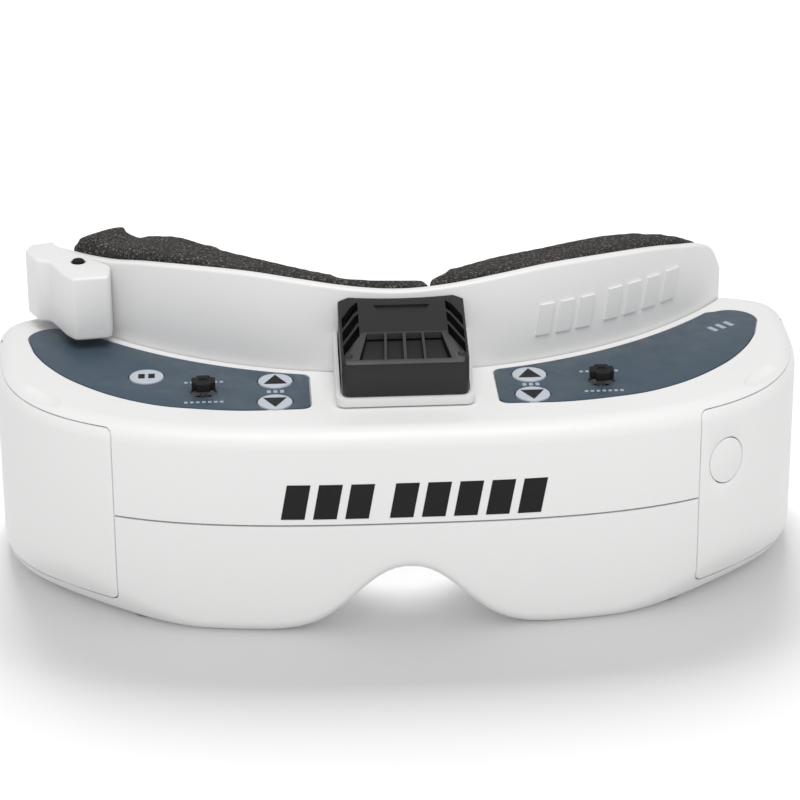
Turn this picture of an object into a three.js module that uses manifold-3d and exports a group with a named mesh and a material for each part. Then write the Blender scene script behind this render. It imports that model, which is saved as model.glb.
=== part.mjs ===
// First-person-view video goggles. Millimetres, +Z up, the wearer looks along -Y.
// Every piece is laid out in the body frame: X across the face, Y from the front wall back to the
// face, Z up from the surface that the body rests on. The last lines move the whole group so that
// its origin is the middle of the bottom of its bounding box.

import * as THREE from "three";
import { ConvexGeometry } from "three/addons/geometries/ConvexGeometry.js";
import { mergeVertices } from "three/addons/utils/BufferGeometryUtils.js";
import Module from "manifold-3d";

const wasm = await Module();
wasm.setup();

// ---------------------------------------------------------------- driving dimensions

const GAP = 0.3; // clearance between pieces that touch
const WALL = 2; // wall of the two body shells

// Body: a superellipse in plan, split at its widest line into a deep front and a shallow rear.
const HALF_WIDTH = 94.3;
const WIDEST_Y = 60;
const REAR_DEPTH = 20;
const FRONT_POWER = 2.9;
const REAR_POWER = 4;
const BODY_TOP = 50;
const TOP_FILLET = 4.5;
const BOTTOM_FILLET = 5.5;
const SEAM_Z = 27.3;
const OUTLINE_POINTS = 52;

// Nose arch under the body: height and half width grow from the front wall to the face.
const ARCH_HEIGHT = 16.7;
const ARCH_HEIGHT_GROWTH = 0.19;
const ARCH_WIDTH = 17;
const ARCH_WIDTH_GROWTH = 0.08;

// Faceplate: a curved sheet that is concentric with the face, behind the body.
const FACE_CENTRE_Y = 133.2;
const PLATE_RADIUS = 100;
const PLATE_THICKNESS = 2.5;
const PLATE_HALF_WIDTH = 80;
const PLATE_BOTTOM = 1.5;

// Eyes and optics.
const EYE_X = 32;
const EYE_Z = 26.5;
const BARREL_RADIUS = 11;
const LENS_RADIUS = 10;
const RAIL_RADIUS = 1.5;
const RAIL_Z = 38.7;
const RAIL_YS = [13.5, 21.5];
const RAIL_HALF_LENGTH = 52;
const CHASSIS_HALF_WIDTH = 53;

// Controls on the top face.
const LABEL_RECESS = 0.7;
const LABEL_PROUD = 0.1;
const LABEL_REAR_RADIUS = 102.6;
const BUTTON_RADIUS = 4.3;
const BUTTON_PROUD = 0.4;
const BOARD_Z = 41.7;
const BOARD_THICKNESS = 1.2;
const STICK = { x: 45.5, y: 24.6, pivotZ: 45.5 };
const SIDE_BUTTONS = {
  volume_up: [-29.1, 29.6],
  volume_down: [-29.4, 17.8],
  channel_up: [29.3, 29.2],
  channel_down: [29.1, 18.1],
  centre: [-58.6, 34.1],
};

// Fan and its cover, which stand on a tray that belongs to the faceplate.
const TRAY = { halfWidth: 15.6, front: 13, bottom: 50.3, floorTop: 51.5, lipTop: 52.4, rearTop: 60 };
const COVER = { halfWidth: 14.4, front: 13.7, bottom: 52.7, bandTop: 60.4, rearTop: 69, wall: 1.2 };
const COVER_RIDGE = { halfWidth: 9.8, y: 21, z: 65.4, rearHalfWidth: 12.8, rearZ: 69.8 };
const FAN = { y: 24.1, size: 17, bottom: 52, height: 5.4, hubRadius: 3.2, bladeRadius: 7.4 };

// Bay doors at the ends of the body.
const DOOR_ANGLE = THREE.MathUtils.degToRad(40); // from the X axis, forwards: the way the doors pull
const DOOR = { from: 49.5, to: 109, bottom: 3, top: 48.3, corner: 3.5, thickness: 1.8 };
const DOOR_REACH = [-70, -24]; // how far the door's cutting outline runs, along its own direction
const PLUG = { along: 56.2, z: 35, radius: 5.5 };

// Sockets that open through the underside near its ends.
const PORTS = { dc: [-83, 52], av: [-83, 41], earphone: [83, 52] };

// Screws that hold the two shells together.
const SCREWS = { front: [60, 14], rear: [60, 44] };
const BOSS_RADIUS = 3;

const FINISHES = {
  white_plastic: [0xf2f2f2, 0.42, 0],
  black_plastic: [0x1b1b1c, 0.5, 0],
  cover_plastic: [0x333332, 0.38, 0],
  label_film: [0x4b5a68, 0.55, 0],
  button_plastic: [0xc8ced8, 0.4, 0],
  black_rubber: [0x141414, 0.8, 0],
  foam: [0x45413f, 1, 0],
  lens_glass: [0xcfdde6, 0.05, 0],
  circuit_board: [0x1f5a3a, 0.6, 0],
  steel: [0xa8abad, 0.3, 1],
  module_shield: [0xb9bcbf, 0.35, 1],
};

// ---------------------------------------------------------------- solids

const goggles = new THREE.Group();

function solidOf(geometry) {
  const bare = geometry.clone();
  bare.deleteAttribute("normal");
  bare.deleteAttribute("uv");
  const merged = mergeVertices(bare, 1e-4);
  return new wasm.Manifold(
    new wasm.Mesh({
      numProp: 3,
      vertProperties: new Float32Array(merged.attributes.position.array),
      triVerts: new Uint32Array(merged.index.array),
    }),
  );
}

function geometryOf(solid) {
  const mesh = solid.getMesh();
  const positions = new Float32Array(mesh.numVert * 3);
  for (let i = 0; i < mesh.numVert; i++) {
    const start = i * mesh.numProp;
    positions.set(mesh.vertProperties.subarray(start, start + 3), i * 3);
  }
  const geometry = new THREE.BufferGeometry();
  geometry.setAttribute("position", new THREE.BufferAttribute(positions, 3));
  geometry.setIndex(new THREE.BufferAttribute(mesh.triVerts, 1));
  geometry.computeVertexNormals();
  return geometry;
}

function addPiece(name, solid, finish, parent = goggles) {
  const [color, roughness, metalness] = FINISHES[finish];
  const material = new THREE.MeshStandardMaterial({ color, roughness, metalness });
  const mesh = new THREE.Mesh(geometryOf(solid), material);
  mesh.name = name;
  parent.add(mesh);
  return mesh;
}

const cut = (solid, ...tools) => tools.reduce((left, tool) => left.subtract(tool), solid);
const join = (solid, ...others) => others.reduce((whole, other) => whole.add(other), solid);

function block(x0, x1, y0, y1, z0, z1) {
  const geometry = new THREE.BoxGeometry(x1 - x0, y1 - y0, z1 - z0);
  return solidOf(geometry.translate((x0 + x1) / 2, (y0 + y1) / 2, (z0 + z1) / 2));
}

function cone(lowRadius, highRadius, z0, z1, x = 0, y = 0, sides = 16) {
  const geometry = new THREE.CylinderGeometry(highRadius, lowRadius, z1 - z0, sides);
  return solidOf(geometry.rotateX(Math.PI / 2).translate(x, y, (z0 + z1) / 2));
}

const disc = (radius, z0, z1, x = 0, y = 0, sides = 16) => cone(radius, radius, z0, z1, x, y, sides);

// A cylinder from point to point.
function rod(radius, from, to, sides = 24) {
  const start = new THREE.Vector3(...from);
  const way = new THREE.Vector3(...to).sub(start);
  const turn = new THREE.Quaternion().setFromUnitVectors(
    new THREE.Vector3(0, 1, 0),
    way.clone().normalize(),
  );
  const middle = start.addScaledVector(way, 0.5);
  const geometry = new THREE.CylinderGeometry(radius, radius, way.length(), sides);
  return solidOf(geometry.applyQuaternion(turn).translate(middle.x, middle.y, middle.z));
}

// A plan outline between two heights.
function slab(shape, z0, z1, curveSegments = 10) {
  const options = { depth: z1 - z0, bevelEnabled: false, curveSegments };
  return solidOf(new THREE.ExtrudeGeometry(shape, options).translate(0, 0, z0));
}

// A front-view outline, drawn in X and Z, between two depths.
function wallSlab(shape, y0, y1, curveSegments = 10) {
  const options = { depth: y1 - y0, bevelEnabled: false, curveSegments };
  const geometry = new THREE.ExtrudeGeometry(shape, options);
  return solidOf(geometry.rotateX(Math.PI / 2).translate(0, y1, 0));
}

function polygon(points) {
  return new THREE.Shape(points.map(([u, v]) => new THREE.Vector2(u, v)));
}

function roundedRectangle(u0, u1, v0, v1, radius) {
  const shape = new THREE.Shape();
  shape.absarc(u1 - radius, v0 + radius, radius, -Math.PI / 2, 0);
  shape.absarc(u1 - radius, v1 - radius, radius, 0, Math.PI / 2);
  shape.absarc(u0 + radius, v1 - radius, radius, Math.PI / 2, Math.PI);
  shape.absarc(u0 + radius, v0 + radius, radius, Math.PI, 1.5 * Math.PI);
  return shape;
}

// A closed skin over rings of equal point counts, with a fan over each end.
function loft(rings) {
  const count = rings[0].length;
  const last = rings.length - 1;
  const points = rings.flat();
  const middleOf = (ring) =>
    ring.reduce((sum, point) => sum.add(point), new THREE.Vector3()).divideScalar(count);
  const firstMiddle = points.push(middleOf(rings[0])) - 1;
  const lastMiddle = points.push(middleOf(rings[last])) - 1;
  const faces = [];
  for (let i = 0; i < count; i++) {
    const next = (i + 1) % count;
    for (let k = 0; k < last; k++) {
      const low = k * count;
      const high = low + count;
      faces.push(low + i, low + next, high + next, low + i, high + next, high + i);
    }
    faces.push(firstMiddle, next, i);
    faces.push(lastMiddle, last * count + i, last * count + next);
  }
  const geometry = new THREE.BufferGeometry().setFromPoints(points);
  geometry.setIndex(faces);
  return solidOf(geometry);
}

// ---------------------------------------------------------------- body shape

function outlinePoint(angle, inset, z) {
  const across = Math.cos(angle);
  const along = Math.sin(angle);
  const front = along < 0;
  const power = 2 / (front ? FRONT_POWER : REAR_POWER);
  const depth = (front ? WIDEST_Y : REAR_DEPTH) - inset;
  const x = (HALF_WIDTH - inset) * Math.sign(across) * Math.abs(across) ** power;
  const y = WIDEST_Y + depth * Math.sign(along) * Math.abs(along) ** power;
  return new THREE.Vector3(x, y, z);
}

function outlineRing(inset, z) {
  return Array.from({ length: OUTLINE_POINTS }, (_, i) =>
    outlinePoint((i / OUTLINE_POINTS) * 2 * Math.PI, inset, z),
  );
}

// The body's form, shrunk by an inset, with its top and bottom edges rolled in a number of steps.
function bodyForm(inset, rolls) {
  const steps = Array.from({ length: rolls + 1 }, (_, i) => (i / rolls) * (Math.PI / 2));
  const low = BOTTOM_FILLET - inset;
  const high = TOP_FILLET - inset;
  const bottomRings = steps.map((angle) =>
    outlineRing(inset + low * (1 - Math.sin(angle)), inset + low * (1 - Math.cos(angle))),
  );
  const topRings = steps
    .toReversed()
    .map((angle) =>
      outlineRing(
        inset + high * (1 - Math.sin(angle)),
        BODY_TOP - inset - high * (1 - Math.cos(angle)),
      ),
    );
  return loft([...bottomRings, ...topRings]);
}

function archHeight(x, y, grow) {
  const height = ARCH_HEIGHT + ARCH_HEIGHT_GROWTH * y;
  const width = ARCH_WIDTH + ARCH_WIDTH_GROWTH * y;
  return height * Math.exp(-((Math.max(Math.abs(x) - grow, 0) / width) ** 3)) + grow;
}

// The tunnel for the nose: sections across the arch, from before the front wall to behind the face.
function noseArch(grow) {
  const reach = 34;
  const columns = 22;
  const floor = -5;
  const feather = 0.05; // drops the ends of the curve just under the flat bottom
  const sections = [-4, 22, 48].map((y) => {
    const ring = [new THREE.Vector3(-reach, y, floor), new THREE.Vector3(reach, y, floor)];
    for (let i = 0; i <= columns; i++) {
      const x = reach - (2 * reach * i) / columns;
      ring.push(new THREE.Vector3(x, y, archHeight(x, Math.max(y, 0), grow) - feather));
    }
    return ring.reverse();
  });
  return loft(sections);
}

// A ring concentric with the face, cut out of space between two radii and two heights.
function faceRing(innerRadius, outerRadius, z0, z1) {
  const sides = 84;
  const outer = disc(outerRadius, z0, z1, 0, FACE_CENTRE_Y, sides);
  if (!innerRadius) return outer;
  return cut(outer, disc(innerRadius, z0 - 1, z1 + 1, 0, FACE_CENTRE_Y, sides));
}

const plateSpace = faceRing(0, PLATE_RADIUS + GAP, -10, 90);
const bodyOuter = cut(bodyForm(0, 3), noseArch(0), plateSpace);
const bodyInner = cut(bodyForm(WALL, 2), noseArch(WALL));
const shellWall = cut(bodyOuter, bodyInner);

// ---------------------------------------------------------------- bay doors

// Turns a solid drawn facing -Y, at X along the door and Z up, to the door's own direction.
function towardsDoor(solid, side) {
  const turned = solid.rotate([0, 0, THREE.MathUtils.radToDeg(Math.PI / 2 - DOOR_ANGLE)]);
  return side > 0 ? turned : turned.mirror([1, 0, 0]);
}

function doorPrism(side, grow) {
  const shape = roundedRectangle(
    DOOR.from - grow,
    DOOR.to + grow,
    DOOR.bottom - grow,
    DOOR.top + grow,
    DOOR.corner + grow,
  );
  return towardsDoor(wallSlab(shape, ...DOOR_REACH, 4), side);
}

function doorSolid(side) {
  const core = loft([outlineRing(DOOR.thickness, -5), outlineRing(DOOR.thickness, 60)]);
  return bodyOuter.intersect(doorPrism(side, 0)).subtract(core);
}

function doorOpening(side) {
  const core = loft([outlineRing(WALL + 0.1, -5), outlineRing(WALL + 0.1, 60)]);
  return doorPrism(side, GAP).subtract(core);
}

function plugPrism(radius) {
  const [outside, inside] = DOOR_REACH;
  return towardsDoor(rod(radius, [PLUG.along, outside, PLUG.z], [PLUG.along, inside, PLUG.z]), 1);
}

addPiece("left_bay_door", doorSolid(-1), "white_plastic");
addPiece("right_bay_door", cut(doorSolid(1), plugPrism(PLUG.radius + GAP)), "white_plastic");
addPiece("antenna_plug", doorSolid(1).intersect(plugPrism(PLUG.radius)), "white_plastic");

// ---------------------------------------------------------------- control labels

// The right label's outline: a front edge that follows the body and a rear edge along the face ring.
function labelShape(grow) {
  const tip = new THREE.Vector2(80.6, 58.7);
  const innerX = 21.4 - grow;
  const rearRadius = LABEL_REAR_RADIUS - grow;
  const frontEdge = [
    [innerX + 2, 14.1 - grow],
    [36.3, 14.1 - grow],
    [47.2, 15.9 - grow],
    [56.6, 18.7 - grow],
    [66.4 + 0.7 * grow, 24.7 - 0.7 * grow],
    [75.6 + 0.9 * grow, 33.7 - 0.5 * grow],
    [81.6 + grow, 42.7],
    [84.9 + grow, 50.4],
  ].map(([x, y]) => new THREE.Vector2(x, y));
  const rearY = (x) => FACE_CENTRE_Y - Math.sqrt(rearRadius ** 2 - x ** 2);
  const shape = new THREE.Shape([frontEdge[0]]);
  shape.splineThru(frontEdge.slice(1));
  shape.absarc(tip.x, tip.y, 6 + grow, -0.25, 2.1);
  for (let i = 0; i <= 10; i++) {
    const x = THREE.MathUtils.lerp(tip.x - 5.4, innerX + 2, i / 10);
    shape.lineTo(x, rearY(x));
  }
  shape.lineTo(innerX, rearY(innerX) - 2);
  shape.lineTo(innerX, 16.1 - grow);
  return shape;
}

function labelSlab(side, grow, z0, z1) {
  const right = slab(labelShape(grow), z0, z1, 2);
  return side > 0 ? right : right.mirror([1, 0, 0]);
}

const buttonsOn = (side) => Object.values(SIDE_BUTTONS).filter(([x]) => Math.sign(x) === side);
const buttonHoles = (side, radius) =>
  buttonsOn(side).map(([x, y]) => disc(radius, 44, 60, x, y));
const stickHole = (side, radius) => disc(radius, 44, 60, side * STICK.x, STICK.y);

for (const [name, side] of [
  ["left_label", -1],
  ["right_label", 1],
]) {
  const film = labelSlab(side, 0, BODY_TOP - LABEL_RECESS + GAP, BODY_TOP + LABEL_PROUD);
  const holes = [...buttonHoles(side, BUTTON_RADIUS + GAP), stickHole(side, 3)];
  addPiece(name, cut(film, ...holes), "label_film");
}

// ---------------------------------------------------------------- body shells

const screwPlaces = [-1, 1].flatMap((side) =>
  Object.entries(SCREWS).map(([row, [x, y]]) => ({
    name: `${row}_${side < 0 ? "left" : "right"}_shell_screw`,
    x: side * x,
    y,
  })),
);

// A shallow dish over each door's top edge, where a fingertip gets under the door.
function fingerNotch(side) {
  const dish = new THREE.SphereGeometry(1, 14, 8);
  dish.scale(3.2, 8.4, 2.2).rotateZ(-0.637).translate(82.4, 25, 51.2);
  const solid = solidOf(dish);
  return side > 0 ? solid : solid.mirror([1, 0, 0]);
}

// A slot through the side wall and one through the rear wall, with a bar between for the head strap.
function strapSlots(side) {
  const sideSlot = block(88, 96, 66.8, 71.3, 12, 38);
  const rearSlot = block(83.2, 87.7, 71, 84, 12, 38);
  const slots = join(sideSlot, rearSlot);
  return side > 0 ? slots : slots.mirror([1, 0, 0]);
}

function topShell() {
  const upper = block(-100, 100, -5, 90, SEAM_Z + GAP / 2, 60);
  const bosses = screwPlaces.map(({ x, y }) => disc(BOSS_RADIUS, SEAM_Z + GAP, 48.3, x, y));
  const bores = screwPlaces.map(({ x, y }) => disc(1.5, SEAM_Z, 42, x, y, 12));
  const chassisPosts = [-40, 40].map((x) => disc(1.2, 41.6, 48.3, x, 8.6, 12));
  const boardPosts = [-16, 16].map((x) => disc(1.5, 45.1, 48.3, x, 17, 12));
  const solid = join(shellWall.intersect(upper), ...bosses, ...chassisPosts, ...boardPosts);
  return cut(
    solid,
    ...bores,
    ...[-1, 1].flatMap((side) => [
      doorOpening(side),
      labelSlab(side, GAP, BODY_TOP - LABEL_RECESS, 60),
      fingerNotch(side),
      strapSlots(side),
      ...buttonHoles(side, BUTTON_RADIUS + GAP),
      stickHole(side, 3.2),
    ]),
  );
}

function bottomShell() {
  const lower = block(-100, 100, -5, 90, -5, SEAM_Z - GAP / 2);
  const bosses = screwPlaces.map(({ x, y }) => disc(BOSS_RADIUS + 0.6, 1, SEAM_Z - GAP, x, y));
  const bores = screwPlaces.map(({ x, y }) => disc(1.5, -1, 40, x, y, 12));
  const sinks = screwPlaces.map(({ x, y }) => disc(2.8, -1, 4, x, y, 16));
  const sliderSlots = [-1, 1].map((side) =>
    block(side * EYE_X - 7.2, side * EYE_X + 7.2, 13.5, 20.5, -1, 8),
  );
  const portHoles = [
    disc(3.3, -1, 5, ...PORTS.dc),
    disc(2.7, -1, 5, ...PORTS.av),
    disc(2.7, -1, 5, ...PORTS.earphone),
    block(80.7, 85.3, 33.5, 45.5, -1, 5),
    block(52.9, 65.1, 27.6, 29.4, -1, 5),
  ];
  return cut(
    join(shellWall.intersect(lower), ...bosses),
    ...bores,
    ...sinks,
    ...sliderSlots,
    ...portHoles,
    ...[-1, 1].flatMap((side) => [doorOpening(side), strapSlots(side)]),
  );
}

addPiece("top_shell", topShell(), "white_plastic");
addPiece("bottom_shell", bottomShell(), "white_plastic");

for (const { name, x, y } of screwPlaces) {
  const screw = join(disc(2.4, 1.4, 3.6, x, y, 16), disc(1.2, 3.5, 38, x, y, 12));
  addPiece(name, cut(screw, disc(0.9, 1, 2.6, x, y, 6)), "steel");
}

// The wall that closes the shells towards the face, with an opening for each eyepiece.
function rearFrame() {
  const sheet = faceRing(PLATE_RADIUS + 2 * GAP, PLATE_RADIUS + 2.2, 2.6, BODY_TOP - WALL - GAP);
  const inside = cut(bodyForm(WALL + GAP, 2), noseArch(WALL + GAP));
  const eyes = [-1, 1].map((side) => {
    const x = side * EYE_X;
    return wallSlab(roundedRectangle(x - 16.6, x + 16.6, EYE_Z - 13.5, EYE_Z + 13.5, 9), 30, 60, 3);
  });
  return cut(sheet.intersect(inside), ...eyes);
}

addPiece("rear_frame", rearFrame(), "black_plastic");

// ---------------------------------------------------------------- faceplate and foam

// The plate's front view: a low crown on top, round corners, and the notch for the nose.
function plateOutline() {
  const crown = [
    [59, 71],
    [47, 72.4],
    [35, 72.8],
    [23, 71.9],
    [11, 70.6],
  ];
  // The right end is rounded; the left end stays square, inside the switch housing.
  const rightEnd = [
    [PLATE_HALF_WIDTH, 58],
    [76.5, 65.2],
    [68, 68.8],
  ];
  const leftEnd = [
    [-68, 69],
    [-PLATE_HALF_WIDTH, 67],
  ];
  const mirrored = crown.map(([x, z]) => [-x, z]).reverse();
  const topEdge = [...rightEnd, ...crown, [0, 70], ...mirrored, ...leftEnd];
  const shape = new THREE.Shape();
  const corner = 8;
  const notch = (x) => 27 * Math.exp(-((Math.abs(x) / 21) ** 3));
  shape.moveTo(0, notch(0));
  for (let x = 3; x <= 33; x += 3) shape.lineTo(x, Math.max(notch(x), PLATE_BOTTOM));
  shape.absarc(PLATE_HALF_WIDTH - corner, PLATE_BOTTOM + corner, corner, -Math.PI / 2, 0);
  shape.splineThru(topEdge.map(([x, z]) => new THREE.Vector2(x, z)));
  shape.absarc(corner - PLATE_HALF_WIDTH, PLATE_BOTTOM + corner, corner, Math.PI, 1.5 * Math.PI);
  for (let x = -33; x < 0; x += 3) shape.lineTo(x, Math.max(notch(x), PLATE_BOTTOM));
  return shape;
}

function eyeWindow(side) {
  const points = [
    [57, 9.5],
    [26.4, 9.5],
    [12.6, 31],
    [12.6, 46],
    [57, 46],
  ].map(([x, z]) => [side * x, z]);
  return wallSlab(polygon(side > 0 ? points.toReversed() : points), 25, 95);
}

// The tray's side view: a floor, with side walls that climb to the plate.
function fanTray() {
  const side = polygon([
    [TRAY.front, TRAY.bottom],
    [36, TRAY.bottom],
    [36, TRAY.rearTop],
    [33, TRAY.rearTop],
    [TRAY.front + 2.5, TRAY.lipTop],
    [TRAY.front, TRAY.lipTop],
  ]);
  const depth = 2 * TRAY.halfWidth;
  const geometry = new THREE.ExtrudeGeometry(side, { depth, bevelEnabled: false });
  // The profile is drawn in Y and Z and swept along X.
  const axes = new THREE.Matrix4().set(0, 0, 1, -TRAY.halfWidth, 1, 0, 0, 0, 0, 1, 0, 0, 0, 0, 0, 1);
  const solid = solidOf(geometry.applyMatrix4(axes));
  const seat = COVER.halfWidth + GAP;
  const hollow = COVER.halfWidth - COVER.wall - GAP;
  return cut(
    solid,
    block(-seat, seat, COVER.front - GAP, 40, COVER.bottom - GAP, 70),
    block(-hollow, hollow, COVER.front + COVER.wall + GAP, 40, TRAY.floorTop, 70),
  );
}

function faceplate() {
  const inner = PLATE_RADIUS - PLATE_THICKNESS;
  const ring = faceRing(inner, PLATE_RADIUS, -5, 90);
  const sheet = cut(
    ring.intersect(wallSlab(plateOutline(), 25, 100, 2)),
    eyeWindow(-1),
    eyeWindow(1),
  );
  const tray = cut(fanTray(), faceRing(0, PLATE_RADIUS - 0.5, 40, 80));
  const airSlot = block(-9, 9, 28, 40, 53, 57.5);
  return cut(join(sheet, tray), airSlot);
}

addPiece("faceplate", faceplate(), "white_plastic");

const FOAM_FRONT_RADIUS = PLATE_RADIUS - PLATE_THICKNESS - GAP;

// A band of foam on the inside of the plate. Each stop gives X, thickness, lower and upper edge.
function foamBand(stops) {
  return loft(
    stops.map(([x, thickness, z0, z1]) => {
      const angle = Math.asin(x / FOAM_FRONT_RADIUS);
      const corner = (radius, z) =>
        new THREE.Vector3(radius * Math.sin(angle), FACE_CENTRE_Y - radius * Math.cos(angle), z);
      const back = FOAM_FRONT_RADIUS - thickness;
      return [
        corner(FOAM_FRONT_RADIUS, z0),
        corner(back, z0),
        corner(back, z1),
        corner(FOAM_FRONT_RADIUS, z1),
      ];
    }),
  );
}

const foamLeft = join(
  foamBand([
    [-78, 4, 57, 65.5],
    [-76, 9, 57, 68],
    [-73.5, 11, 57, 69.6],
    [-68.5, 10.8, 57, 70.2],
    [-62, 12.2, 57, 71.6],
    [-53, 11.4, 57, 72.6],
    [-42.3, 10.6, 57, 72.7],
    [-31, 8.2, 57, 72.6],
    [-20.5, 5.4, 57, 72],
    [-11.8, 4, 57, 71],
    [3, 3.2, 57, 70.5],
  ]),
  foamBand([
    [-76.5, 10, 8, 60],
    [-70, 14, 4, 60],
    [-61, 12, 3, 60],
  ]),
  foamBand([
    [-72, 13, 3, 9],
    [-50, 11, 3, 9],
    [-31, 9, 3, 9],
  ]),
);

const foamRight = join(
  foamBand([
    [5.5, 3, 57, 70.6],
    [12, 6, 57, 71.5],
    [17, 7.4, 57, 72.2],
    [24.4, 9.2, 57, 72.7],
    [34.6, 10.2, 57, 72.7],
    [45, 10.5, 57, 72.7],
    [54.4, 9.4, 57, 72.5],
    [60.4, 7, 57, 71.8],
    [64.5, 5, 57, 71],
    [69, 3.4, 57, 69],
    [73.5, 3, 57, 66],
  ]),
  foamBand([
    [61, 8, 3, 60],
    [70, 8, 4, 60],
    [76.5, 5, 8, 60],
  ]),
  foamBand([
    [31, 9, 3, 9],
    [50, 9, 3, 9],
    [72, 7.5, 3, 9],
  ]),
);

addPiece("foam_left", foamLeft, "foam");
addPiece("foam_right", foamRight, "foam");

// ---------------------------------------------------------------- fan and cover

// A hipped form: a plain front band, a slope, and a roof that rises to the plate.
function coverForm(inset) {
  const side = COVER.halfWidth - inset;
  const front = COVER.front + inset;
  const rear = 38;
  const ridge = COVER_RIDGE;
  const points = [-1, 1].flatMap((mirror) => [
    [mirror * side, front, COVER.bottom - inset],
    [mirror * side, rear, COVER.bottom - inset],
    [mirror * side, front, COVER.bandTop - inset],
    [mirror * side, rear, COVER.rearTop - inset],
    [mirror * (ridge.halfWidth - 0.6 * inset), ridge.y + 0.3 * inset, ridge.z - inset],
    [mirror * (ridge.rearHalfWidth - 0.6 * inset), rear, ridge.rearZ - inset],
  ]);
  return solidOf(new ConvexGeometry(points.map((point) => new THREE.Vector3(...point))));
}

// One air slot of the cover's slope, which narrows and leans to the middle as it rises.
function coverSlot(x) {
  const low = { x: 1.05 * x, half: 2.2, y: 13.4 };
  const high = { x: 0.82 * x, half: 1.5, y: 19.4 };
  const outline = polygon([
    [low.x - low.half, low.y],
    [low.x + low.half, low.y],
    [high.x + high.half, high.y],
    [high.x - high.half, high.y],
  ]);
  return slab(outline, 56, 72);
}

function fanCover() {
  const slots = [-9, -3, 3, 9].map(coverSlot);
  const gills = [-1, 1].flatMap((side) =>
    [17, 21, 25].map((y) => {
      const strip = slab(polygon([[12.2, 0], [13.9, -1.7], [13.9, 0.7], [12.2, 2.4]]), 60, 72);
      const placed = strip.translate([0, y, 0]);
      return side > 0 ? placed : placed.mirror([1, 0, 0]);
    }),
  );
  const walls = cut(
    coverForm(0),
    coverForm(COVER.wall).translate([0, 0, -0.01]),
    faceRing(0, PLATE_RADIUS + GAP, 40, 80),
  );
  return cut(walls, ...slots, ...gills);
}

addPiece("fan_cover", fanCover(), "cover_plastic");

const fanGroup = new THREE.Group();
fanGroup.position.set(0, FAN.y, FAN.bottom);
goggles.add(fanGroup);

function fanFrame() {
  const half = FAN.size / 2;
  const frame = cut(
    slab(roundedRectangle(-half, half, -half, half, 1.5), 0, FAN.height, 3),
    disc(FAN.bladeRadius + 0.6, -1, FAN.height + 1, 0, 0, 20),
  );
  const arm = block(0, half - 0.3, -0.6, 0.6, 0, 0.8);
  const arms = [45, 165, 285].map((angle) => arm.rotate([0, 0, angle]));
  const boss = disc(FAN.hubRadius - 0.3, 0, 0.8);
  const pocket = disc(1.55, 0.3, 3.4, 0, 0, 16);
  const post = disc(2.1, 0.3, 3.2, 0, 0, 16);
  return cut(join(frame, boss, post, ...arms), pocket, disc(0.6, -1, 1, 0, 0, 12));
}

function fanRotor() {
  const hub = cut(disc(FAN.hubRadius, 1.2, 5, 0, 0, 20), disc(2.4, 1, 4.2, 0, 0, 20));
  const shaft = disc(0.45, 0.9, 4.6, 0, 0, 8);
  const bladeShape = polygon([
    [2.9, -0.45],
    [FAN.bladeRadius, 1.3],
    [FAN.bladeRadius, 2.1],
    [2.9, 0.45],
  ]);
  const blade = slab(bladeShape, 1.4, 4.9);
  const blades = Array.from({ length: 7 }, (_, i) => blade.rotate([0, 0, (i * 360) / 7]));
  return join(hub, shaft, ...blades);
}

addPiece("fan_frame", fanFrame(), "black_plastic", fanGroup);
const fanBearing = cut(disc(1.25, 0.6, 3.3, 0, 0, 12), disc(0.75, 0, 4, 0, 0, 10));
addPiece("fan_bearing", fanBearing, "steel", fanGroup);
addPiece("fan_rotor", fanRotor(), "black_plastic", fanGroup);

// ---------------------------------------------------------------- fan switch on the plate's end

const SWITCH = { x: -74.3, y: 61.4, bottom: 52.6, top: 68.3 };
const BALANCE = { x: -82, y: 69, turn: -52 };

const atBalanceSocket = (solid) =>
  solid.rotate([0, 0, BALANCE.turn]).translate([BALANCE.x, BALANCE.y, 0]);

function switchHousing() {
  const plan = polygon([
    [-66.6, 58],
    [-66.8, 51.6],
    [-75.2, 50.6],
    [-77.4, 53.6],
    [-81.3, 62.4],
    [-84.4, 63.4],
    [-87.2, 69.8],
    [-86, 73.6],
    [-78, 76],
    [-72, 70],
  ]);
  const behindPlate = faceRing(0, PLATE_RADIUS + GAP, 40, 80);
  const leftOfPlate = block(-100, -PLATE_HALF_WIDTH - 2 * GAP, 40, 90, 40, 80);
  return cut(
    slab(plan, SWITCH.bottom, SWITCH.top),
    cut(behindPlate, leftOfPlate),
    disc(2.6, 50, 64.9, SWITCH.x, SWITCH.y, 20),
    disc(1.8, 60, 70, SWITCH.x, SWITCH.y, 20),
    atBalanceSocket(block(-2.4, 2.4, -1.9, 1.9, 50, 62)),
  );
}

addPiece("switch_housing", switchHousing(), "white_plastic");
addPiece("fan_switch_button", join(
  disc(1.4, 64, 68.9, SWITCH.x, SWITCH.y, 20),
  disc(2.2, 63.2, 64.2, SWITCH.x, SWITCH.y, 20),
), "black_rubber");
addPiece("fan_switch_body", disc(2.2, 56, 62.2, SWITCH.x, SWITCH.y, 20), "black_plastic");
addPiece(
  "balance_socket",
  atBalanceSocket(cut(block(-2, 2, -1.5, 1.5, 53, 61.5), block(-1.5, 1.5, -1, 1, 50, 57))),
  "black_plastic",
);

// ---------------------------------------------------------------- push buttons

const BUTTON_NAMES = {
  volume_up: "volume_up_button",
  volume_down: "volume_down_button",
  channel_up: "channel_up_button",
  channel_down: "channel_down_button",
  centre: "head_tracker_button",
};

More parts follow.
